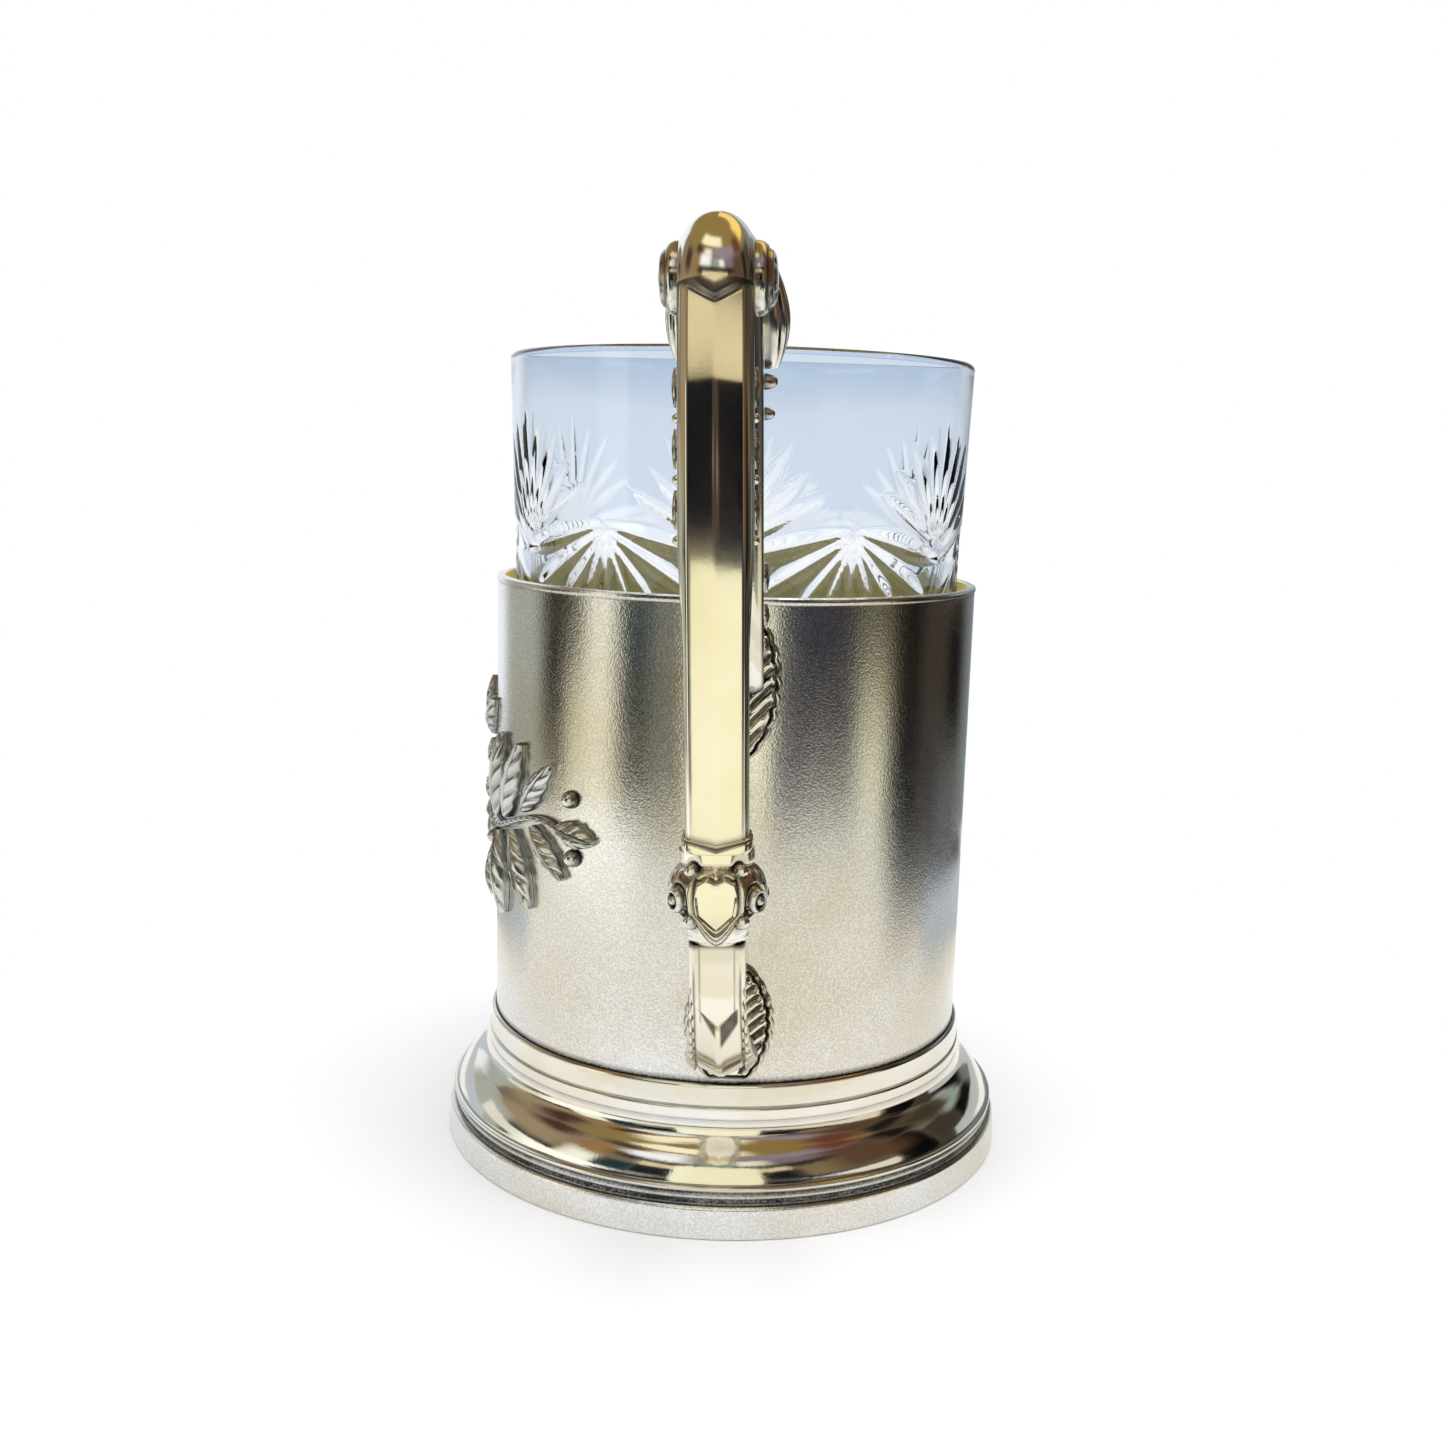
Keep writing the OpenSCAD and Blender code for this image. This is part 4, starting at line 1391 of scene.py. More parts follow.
    def thumb_leaves(self) -> Piece:
        """A grooved plume at each side, behind the thumb rest.

        Returns:
            The piece.
        """
        path, back = self.arm_path, np.array([-0.34 * self.arm_t, 0])
        skins = [Leaf(self.arm_t * 1.15, 3.0, LeafForm.PLUMED, 0.7, 6, 60, 61).skin(
            bezier(path, 1.0) + back + [0.6, 1.6], bezier(path, 0.865) + back,
            self.side_plane)]
        return self.both_sides("thumb_plumes", "thumb_leaves", skins)

    def bar_garland(self) -> Piece:
        """Small beads and long leaves, by turns, down both sides of the bar.

        Returns:
            The piece.
        """
        back = np.array([-0.12 * self.bar_t, 0])
        bead = self.pearl_r * 0.6
        leaf = Leaf(bead * 1.9, bead, along=24, across=15, count=3)
        skins = [placed(dome(bead_profile(bead, bead), 0.0, 24),
                        self.on_side(self.bar_centre(t) + back, 1)) for t in (0.55, 0.66, 0.77)]
        skins += [leaf.skin(self.bar_centre(t - 0.036) + back, self.bar_centre(t + 0.036) + back,
                            self.side_plane) for t in (0.605, 0.715, 0.825)]
        return self.both_sides("bar_beads", "bar_garland", skins)

    def arm_garland(self) -> Piece:
        """Berries and small leaves down both sides of the arm.

        Returns:
            The piece.
        """
        path, steps = self.arm_path, 12
        skins = []
        for t, share in ((0.84, 1.0), (0.785, 0.8)):
            profile = bead_profile(self.pearl_r * share, self.pearl_r * 1.7 * share, steps)
            skins.append(placed(dome(profile, np.linspace(0.9, 0, steps) ** 2, 28),
                                self.on_side(bezier(path, t), 1)))
        leaf = Leaf(self.arm_t * 0.4, self.pearl_r * 0.7, along=26, across=19, count=3)
        skins += [leaf.skin(bezier(path, t + 0.035), bezier(path, t - 0.035), self.side_plane)
                  for t in (0.26, 0.36, 0.46)]
        return self.both_sides("arm_berries", "arm_garland", skins)

    def ferrule(self) -> Piece:
        """Collar under the bar: two rolls whose edges dip to a V at the ridge.

        The bar's section grows by a share of ferrule_out at each share of the height.

        Returns:
            The piece.
        """
        share = np.linspace(0, 1, 40)
        grow = self.ferrule_out * np.interp(
            share, [0, 0.06, 0.14, 0.3, 0.55, 0.7, 0.76, 0.82, 0.88, 0.95, 1.0],
            [0.6, 0.85, 0.95, 1.0, 0.96, 0.85, 0.5, 0.32, 0.5, 0.55, 0.2])
        sections = rounded(bar_sections(self.front + grow, self.low_side + grow,
                                        self.bar_t + 2 * grow), 0.4, 4, 3)
        z = self.bar_z - self.ferrule_h + self.ferrule_h * share
        centres = np.stack([np.full_like(z, self.bar_u), z], axis=1)
        grid = in_handle(centres, np.tile([0.0, 1.0], (len(z), 1)), sections)
        sag = self.dipped(sections, np.ones((len(z), 1)))
        grid[..., 2] -= sag
        aside = 1 - sag / self.dip
        grid[..., 2] += 1.5 * aside * (1 - share[:, None]) ** 1.2
        dark = np.maximum(bell(share - 0.84, 0.11), smooth(0.1, 0.0, share))[:, None]
        return Piece("handle_ferrule_rolls", swept(grid, 0.9 * dark), Slot.WARM,
                     "handle_ferrule", crease=Crease.ROLLED)

    def knot_half(self, share: Number) -> Array:
        """Half width of the knot at a share of its height."""
        return self.knot_w / 2 * np.sqrt(np.maximum(
            0, 1 - (np.abs(2 * share - 1) * 0.86) ** 2.4))

    def knot_waist(self, share: Number) -> Array:
        """How far the knot's sides draw in below its middle, as a share of its half width."""
        return np.interp(share, [0, 0.1, 0.2, 0.32, 0.45, 0.57, 0.8],
                         [1.0, 0.76, 0.67, 0.72, 0.88, 0.95, 1.0])

    def knot(self) -> Piece:
        """Turned knot with a shield on its front, scroll rings, and V-shaped lips below.

        The radius at turn a and height z is the turned outline, cut flat inside the shield,
        less grooves that follow the distance from the shield's edge, from the eyes and from
        the pearls. The shield's top is two lobes with a notch between, its foot a blunt V.

        Returns:
            The piece.
        """
        share = np.linspace(0, 1.13, 160)[:, None]
        a = np.linspace(-np.pi, np.pi, 300, endpoint=False)[None]
        neck = mix(self.neck_front, self.neck_side, np.abs(np.sin(a))) * smooth(0.3, 0.8, share)
        r = np.maximum(self.knot_half(share) * np.ones_like(a), neck)
        x = np.abs(self.knot_w / 2 * np.sin(a))
        z = share * self.knot_h
        front = smooth(0.1, 0.5, np.cos(a))
        foot = z - self.shield_low - 0.28 * x - 0.18 * x * x
        top = self.shield_top - 0.28 * np.cos(2 * np.pi * x / 2.6) - z
        inside = np.minimum(np.minimum(self.shield_w / 2 - x, top), 0.8 * foot)
        shield = smooth(0.0, 0.3, inside) * (np.cos(a) > 0)
        flat = (self.knot_w / 2 - 0.85) / np.maximum(np.cos(a), 0.05)
        r = np.where(shield > 0.02, mix(r, np.minimum(flat, self.knot_w / 2), shield), r)
        groove = 0.36 * bell(inside + 0.32, 0.26) * front * smooth(8.8, 8.2, z)
        for fall, deep, wide in ((1.25, 0.3, 0.2), (2.05, 0.34, 0.22)):
            groove += deep * bell(foot + fall, wide) * front
        groove += 0.2 * bell(z - 9.0, 0.35)
        raised = 0.25 * bell(np.hypot(x, z - 8.75), 0.4) * front
        for turn, level, ring, deep, wide in (
                *[(*eye, 1.75, 0.42, 0.26) for eye in self.eye_places],
                *[(*pearl, 0.0, 0.42, 1.1) for pearl in self.pearl_places]):
            away = np.radians(np.abs(np.degrees(np.abs(a)) - turn)) * self.knot_w / 2
            groove += deep * bell(np.hypot(away, z - level * self.knot_h) - ring, wide)
        grid_r = np.maximum(r - np.minimum(groove, 0.6) + raised, 0.3)
        grid_r = np.minimum(grid_r, self.knot_reach / np.maximum(np.cos(a), 0.3))
        grid = np.stack([grid_r * np.sin(a) * self.knot_waist(share),
                         -self.bar_u - grid_r * np.cos(a),
                         self.knot_low + z * np.ones_like(a)], axis=-1)
        dark = np.clip(groove * 2.4 - raised * 4, 0, 1)
        return Piece("handle_knot_cast", swept(grid, dark), Slot.WARM, "handle_knot",
                     crease=Crease.KNOT)

    def on_knot(self, turn: float, share: float, depth: float) -> Placing:
        """Stands a dome on the knot's skin.

        Args:
            turn: Bearing round the knot in degrees.
            share: Share of the knot's height.
            depth: How far the dome is let in.

        Returns:
            The placing function.
        """
        a, drawn = radians(turn), float(self.knot_waist(share))
        out = max(float(self.knot_half(share)), self.eye_seat_r) - depth
        return stood(a, out, self.knot_low + share * self.knot_h,
                     (-out * sin(a) * (1 - drawn), -self.bar_u))

    def pearls(self) -> Piece:
        """Pearls let into the knot.

        Returns:
            The piece.
        """
        skin = dome(bead_profile(self.pearl_r, self.pearl_r * 1.25, 14),
                    np.linspace(1, 0, 14) ** 2, 32)
        return Piece("knot_pearl_beads", joined([
            placed(skin, self.on_knot(side * turn, share, self.pearl_r * 0.55 - SEAM))
            for side in (-1, 1) for turn, share in self.pearl_places
        ]), Slot.POLISHED, "knot_pearls")

    def eyes(self) -> Piece:
        """Scroll eyes on the knot's sides: a rim, a dark ring and a button.

        Returns:
            The piece.
        """
        profile = [[1, 0], [1, 0.45], [0.94, 0.8], [0.82, 1.0], [0.68, 0.98], [0.6, 0.78],
                   [0.54, 0.55], [0.42, 0.55], [0.36, 0.85], [0.24, 1.15], [0.1, 1.27],
                   [0, 1.3]]
        dark = [1, 0.6, 0.1, 0, 0.1, 0.8, 1, 1, 0.5, 0.1, 0, 0]
        skin = dome(np.array(profile) * [self.eye_r * 0.9, 1.0], dark, 40)
        return Piece("knot_scroll_eyes", joined([
            placed(skin, self.on_knot(side * turn, share, self.knot_w * 0.05 - SEAM))
            for side in (-1, 1) for turn, share in self.eye_places
        ]), Slot.DARK, "knot_eyes", crease=Crease.DOMED)

    def leg_wide(self, t: Array) -> Array:
        """Width of the leg: it swells above its foot and narrows to it.

        It is leg_w plus leg_flare times a rising power of the share up to leg_peak, and less
        a square of what is past it.

        Args:
            t: Shares of the leg's curve, from the knot.

        Returns:
            Widths.
        """
        rising = np.clip((t - 0.16) / 0.56, 0, None) ** 1.4
        past = 1 - ((t - self.leg_peak) / 0.33) ** 2
        return self.leg_w + self.leg_flare * np.where(t < self.leg_peak, rising, past)

    def leg(self) -> Piece:
        """Leg: a flat field between two strips and worked wings, with a V and a ridge below.

        The V lies at the share leg_vee - vee_rise |x| of the length. Below it the front is a
        gable that falls by half of |x|. The wings' lobes are cosines that slant with |x|. The
        facets just below the V are darkened with a painted dark reflection.

        Returns:
            The piece.
        """
        drop = self.knot_low - self.leg_z
        path = [[self.bar_u, self.knot_low], [self.bar_u, self.knot_low - drop * 0.62],
                [SLEEVE_R + (self.bar_u - SLEEVE_R) * 0.62, self.leg_z],
                [SLEEVE_R, self.leg_z]]
        tt = np.linspace(0, 1, 600)
        last = np.interp(-self.seat_r, -bezier(path, tt)[:, 0], tt)
        t = np.linspace(0, last, 280)
        half, deep = self.leg_wide(t) / 2, self.leg_t / 2
        wing, full = half - 3.5, np.ones_like(t)
        corners = [(0 * full, deep - 0.32 * full), (1.85 * full, deep - 0.32 * full),
                   (2.15 + 0.15 * wing, deep * full), (2.75 + 0.3 * wing, deep * full),
                   (half - 0.1, deep - 0.9 - 0.25 * wing), (half, 0.2 * full),
                   (0.42 * self.leg_w * full, -deep * 0.72 * full),
                   (0.2 * self.leg_w * full, -deep * full)]
        sections = both_halves(np.stack([np.stack(c, axis=-1) for c in corners], axis=1))
        sections = rounded(sections, 0.22, 4, 7)
        s = t[:, None] / last
        x, out = np.abs(sections[..., 0]), sections[..., 1]
        faced = smooth(0.4, 1.2, out)
        below = s - self.leg_vee + self.vee_rise * x
        gable = deep + 0.35 - 0.5 * x
        shaped = sections.copy()
        shaped[..., 1] = np.where(faced > 0, mix(out, np.minimum(gable, deep + 0.2), faced * smooth(
            0.0, 0.018, below) * smooth(3.4, 2.9, x) * smooth(1.0, 0.75, s)), out)
        away = faced * smooth(0.28, 0.5, s) * smooth(1.0, 0.75, s)
        shaped[..., 1] -= away * 0.28 * np.maximum(x - 2.6, 0)
        lobes = 0.5 + 0.5 * np.cos(2 * np.pi * (s * self.leg_lobes - x * 0.8))
        edge = smooth(2.75, 3.1, x) * smooth(0.08, 0.2, s)
        shaped[..., 1] -= faced * 0.28 * lobes ** 3 * edge
        shaped[..., 0] *= 1 - 0.04 * lobes * smooth(2.9, 3.2, x) * smooth(0.08, 0.2, s)
        grid = self.leaned(in_handle(bezier(path, t), -bezier_slope(path, t), shaped))
        grid = seated(grid, self.seat_r)
        # Painted dark reflection on the facets just below the V, which face down, wider on the
        # right
        reach = np.where(sections[..., 0] > 0, 0.125 - 0.012 * x, 0.075 - 0.02 * x)
        facet_painted_reflection = smooth(0.0, 0.01, below) * smooth(reach, reach - 0.03, below) * smooth(2.5, 2.2, x)
        # Dark lines along the strips' outer edges, and painted shade along the field's edges
        line = np.maximum(bell(x - 2.72 - 0.3 * wing[:, None], 0.13) * smooth(0.04, 0.12, s),
                          0.6 * bell(x - 2.0, 0.12) * smooth(0.3, 0.26, s))
        dark = faced * np.maximum(np.maximum(0.9 * facet_painted_reflection * smooth(0.12, 0.4, x),
                                             0.8 * lobes ** 3 * edge), 0.75 * line)
        dark = np.maximum(dark, smooth(0.985, 1.0, s))
        dark = np.maximum(dark, 0.9 * smooth(0.02, 0.0, s))
        dark = np.maximum(dark, 0.6 * smooth(1.0, 0.4, out))
        return Piece("handle_leg_cast", swept(grid, dark), Slot.WARM, "handle_leg",
                     crease=Crease.LEAVES)

    def plate(self, name: str, node: str, middle: Sequence[float], width: float,
              height: float) -> Piece:
        """Oval leaf plate on the sleeve.

        Its height above the sleeve is a raised border, a dark channel inside it, lobes between
        veins that slant up and out, and a plain boss under the handle.

        Args:
            name: Name of the piece.
            node: The frame's node that it stands for.
            middle: Its middle: distance round the sleeve, and height.
            width: Its width round the sleeve.
            height: Its height.

        Returns:
            The piece.
        """
        v = np.linspace(0, 1, 110)[:, None]
        k = np.linspace(-1, 1, 81)[None]
        lobes = 0.5 + 0.5 * np.cos(2 * np.pi * v * self.plate_lobes)
        half = width / 2 * leaf_wide(v, 0.14, 0.5) * (1 - 0.045 * lobes ** 2)
        border = (1 - np.abs(k)) * half + 0 * v
        end = np.minimum(v, 1 - v) * height
        border = np.minimum(border, end + 0.25)
        channel = bell(border - 0.85, 0.2)
        rim = 1 - smooth(0.0, 0.55, 0.55 - border) * 0.55
        phase = v * self.plate_lobes - np.abs(k) * half * 0.5
        vein = (0.5 + 0.5 * np.cos(2 * np.pi * phase)) ** 2 * smooth(0.9, 1.5, border)
        vein = vein * smooth(0.32, 0.45, np.abs(k))
        thick = self.plate_t * (rim - 0.42 * channel - 0.34 * vein
                                - 0.12 * smooth(1.2, 2.0, border)
                                * smooth(0.3, 0.5, np.abs(k)))
        dark = np.maximum(0.95 * channel, 0.8 * vein)
        dark = np.maximum(dark, 0.7 * smooth(0.35, 0.0, border))
        grid = around(SEAT_R + backed(thick, 0.0), (backed(k, k) * half + middle[0]) / SLEEVE_R,
                      middle[1] + height * (v - 0.5))
        return Piece(name, swept(grid, backed(dark, 1.0)), Slot.POLISHED, node,
                     crease=Crease.LEAVES)

    def pieces(self) -> list[Piece]:
        """All pieces of the handle.

        Returns:
            The pieces.
        """
        behind = [self.scroll(), self.cheeks(), self.thumb_leaves(), self.arm_garland()]
        for piece in behind:
            piece.skin.points = self.swung(piece.skin.points)
        leaning = behind + [self.bar(), self.bar_garland(), self.ferrule(), self.knot(),
                            self.pearls(), self.eyes()]
        for piece in leaning:
            piece.skin.points = self.leaned(piece.skin.points)
        return leaning + [
            self.arm(), self.leg(),
            self.plate("upper_leaf_cast", "upper_leaf_plate", [0.4, self.arm_z - 0.2], 12.8, 19.4),
            self.plate("lower_leaf_cast", "lower_leaf_plate", [1.3, self.leg_z + 1.6], 11.8, 15.6),
        ]


# Ornament


@dataclass(frozen=True)
class Spray(SubAssembly):
    """Applied ornament on the sleeve: a rosette, leafy stems, buds and berries."""

    # Half of its length and of its height, the level of its middle, and its bearing
    long: float = 37.0
    half: float = 17.0
    middle: float = 51.0
    turn: float = -90.0
    # How far it stands out, and the gap between its pieces
    rise: float = 2.2
    gap: float = 0.45
    # Petals, the boss as a share of the rosette, and the berries
    petals: int = 8
    boss_share: float = 0.3
    berry_r: float = 1.25

    @property
    def rosette_r(self) -> float:
        """Radius of the rosette."""
        return self.half * 0.5

    @property
    def stem_path(self) -> Array:
        """Control points of the stem on the handle's side, from the ornament's middle."""
        return np.array([[0.255, -0.07], [0.42, -0.33], [0.61, 0.15], [0.81, 0.02]]) * [
            self.long, self.half]

    def wall(self, along: Array, up: Array, out: Array) -> Array:
        """Point round the sleeve: along the wall, up the wall, and out of it."""
        return around(SEAT_R + out, radians(self.turn) + along / SLEEVE_R, up)

    def beside(self, side: int, t: Number, off: Number) -> tuple[Array, Array]:
        """Point beside the stem, at a share of its length and a distance off its middle."""
        p, d = bezier(self.stem_path, t), bezier_slope(self.stem_path, t)
        return side * (p[..., 0] - d[..., 1] * off), self.middle + p[..., 1] + d[..., 0] * off

    def rosette(self) -> Piece:
        """Hollow petals round the boss.

        Returns:
            The piece.
        """
        root = self.rosette_r * self.boss_share * 1.35
        width = self.rosette_r * sin(np.pi / self.petals) * 1.25
        leaf = Leaf(width, self.rise * 0.8, LeafForm.PETAL, along=30, across=25)
        skins = []
        for i in range(self.petals):
            a = 2 * np.pi * (i + 0.5) / self.petals
            d, c = np.array([cos(a), sin(a)]), np.array([0, self.middle])
            skins.append(leaf.skin(c + d * root, c + d * self.rosette_r, self.wall))
        return Piece("rosette_petals_cast", joined(skins), Slot.DARK, "rosette_petals",
                     crease=Crease.DOMED)

    def boss(self) -> Piece:
        """Round boss in the rosette's middle, with a ring of fine dimples.

        Its height at a share s of the radius is the rise times the root of 1 - 0.92 s^2.

        Returns:
            The piece.
        """
        r = self.rosette_r * self.boss_share
        s = np.linspace(0, 1, 40)
        height = self.rise * np.sqrt(np.maximum(1 - s ** 2 * 0.92, 0))
        outline = np.stack([r * s[::-1], height[::-1]], axis=1)
        skin = dome(outline, smooth(0.75, 1.0, s[::-1]), 64)
        a = np.arctan2(skin.points[:, 1], skin.points[:, 0])
        ring = np.hypot(skin.points[:, 0], skin.points[:, 1]) / r
        dimple = bell(ring - 0.6, 0.17) * (0.5 + 0.5 * np.cos(a * 9)) ** 2
        top = skin.points[:, 2] > 0
        skin.points[:, 2] -= np.where(top, 0.28 * dimple, 0)
        skin.oxide_and_shade = np.maximum(skin.oxide_and_shade, 0.9 * dimple)
        x, y, out = skin.points.T
        skin.points = self.wall(x, self.middle + y, out)
        return Piece("rosette_boss_cast", skin.outwards(), Slot.POLISHED, "rosette_boss")

    def stems(self) -> Piece:
        """Two curved stems that thin towards their ends, with a twist of fine grooves.

        A section is flat below and the power 0.8 of a sine above, and thins to 0.6 of its width.

        Returns:
            The piece.
        """
        width = self.rise * 0.6
        t = np.linspace(0, 1, 90)[:, None]
        b = np.linspace(0, np.pi, 15)[None]
        across = np.concatenate([np.linspace(-1, 1, 5)[None][:, 1:-1], np.cos(b)], axis=1)
        up = np.concatenate([np.zeros((1, 3)), np.sin(b) ** 0.8], axis=1)
        twist = 0.5 + 0.5 * np.cos(2 * np.pi * (14 * t + across * 0.5))
        half = width / 2 * mix(1, 0.6, t)
        out = width * up * (1 - 0.12 * twist ** 2)
        skins = []
        for side in (-1, 1):
            x, z = self.beside(side, t + 0 * across, across * half)
            skins.append(swept(self.wall(x, z, out), 0.7 * twist ** 2 * up + (up < 0.2)))
        return Piece("spray_stems_cast", joined(skins), Slot.DARK, "spray_stems",
                     crease=Crease.DOMED)

    def leaves(self) -> Piece:
        """Leaves at both sides of each stem and one at its end.

        Returns:
            The piece.
        """
        table = [
            (0.18, 1, 80, 0.73), (0.43, 1, 68, 0.7), (0.7, 1, 50, 0.57),
            (0.22, -1, 78, 0.7), (0.5, -1, 64, 0.67), (0.78, -1, 44, 0.53),
        ]
        clear = self.rise * 0.6 / 2 + self.gap
        skins = []
        for s in (-1, 1):
            for t, hand, angle, share in table:
                long, a = self.half * share, radians(angle)
                root = np.array(self.beside(s, t, hand * clear))
                tip = root + long * np.array([s * cos(a), hand * sin(a)])
                skins.append(Leaf(long * 0.36, self.rise).skin(root, tip, self.wall))
            width = self.half * 0.22
            root = np.array(self.beside(s, 1.0, 0.0)) + [s * self.gap, 0]
            skins.append(Leaf(width, self.rise).skin(root, [s * self.long, root[1] - width * 0.33],
                                                     self.wall))
        return Piece("spray_leaves_cast", joined(skins), Slot.DARK, "spray_leaves",
                     crease=Crease.DOMED)

    def finials(self) -> Piece:
        """Buds above and below the rosette.

        Returns:
            The piece.
        """
        r, c = self.rosette_r, self.middle
        skins = []
        for s in (-1, 1):
            skins.append(Leaf(r * 0.6, self.rise, count=5).skin(
                [0, c + s * (r + self.gap)], [0, c + s * self.half], self.wall))
            for k in (-1, 1):
                skins.append(Leaf(r * 0.42, self.rise * 0.8).skin(
                    [k * r * 0.47, c + s * r * 1.05], [k * r * 0.97, c + s * self.half * 0.86],
                    self.wall))
        return Piece("spray_buds_cast", joined(skins), Slot.DARK, "spray_finials",
                     crease=Crease.DOMED)

    def berries(self) -> Piece:
        """Berries between the leaves, darker at their foot.

        Returns:
            The piece.
        """
        table = [[0.267, 0.18], [0.276, 0.38], [0.26, -0.32], [0.286, -0.51], [0.886, 0.26],
                 [0.9, -0.21]]
        steps = 12
        skin = dome(bead_profile(self.berry_r, self.berry_r * 1.3, steps),
                    np.linspace(1, 0, steps) ** 1.5, 28)
        skins = []
        for s in (-1, 1):
            for along, up in table:
                a = radians(self.turn) + s * along * self.long / SLEEVE_R
                skins.append(placed(skin, stood(a, SEAT_R, self.middle + up * self.half)))
        return Piece("spray_berries_cast", joined(skins), Slot.POLISHED, "spray_berries")

    def pieces(self) -> list[Piece]:
        """All pieces of the ornament."""
        return [self.rosette(), self.boss(), self.stems(), self.leaves(), self.finials(),
                self.berries()]


# Glass


@dataclass(frozen=True)
class Cut:
    """A wheel cut on the glass: a V-shaped groove between two points of the unrolled wall."""

    start: tuple[float, float]
    angle: float
    long: float
    width: float
    depth: float

    def at(self, x: Array, z: Array) -> Array:
        """Depth of the groove at points of the unrolled wall.

        The depth falls in a straight line from the groove's middle to its edge, and its width
        follows a leaf: the square root of a sine along the cut.

        Args:
            x: Distances round the wall.
            z: Heights.

        Returns:
            Depths, shaped as the points.
        """
        way = np.array([sin(radians(self.angle)), cos(radians(self.angle))])
        dx, dz = x - self.start[0], z - self.start[1]
        along = (dx * way[0] + dz * way[1]) / self.long
        off = np.abs(dx * way[1] - dz * way[0])
        shape = np.sin(np.pi * np.clip(along, 0, 1)) ** 0.6
        half = np.maximum(self.width / 2 * shape, 1e-6)
        return self.depth * shape * np.maximum(1 - off / half, 0)


# Cuts that run down from a head: drop below it, angle, length, width, depth
DOWNWARD_CUTS = (
    (0.6, 122, 17.5, 3.2, 0.55),
    (0.9, 143, 18.0, 2.6, 0.5),
    (1.0, 161, 18.5, 2.4, 0.5),
    (1.0, 180, 19.0, 2.4, 0.5),
)


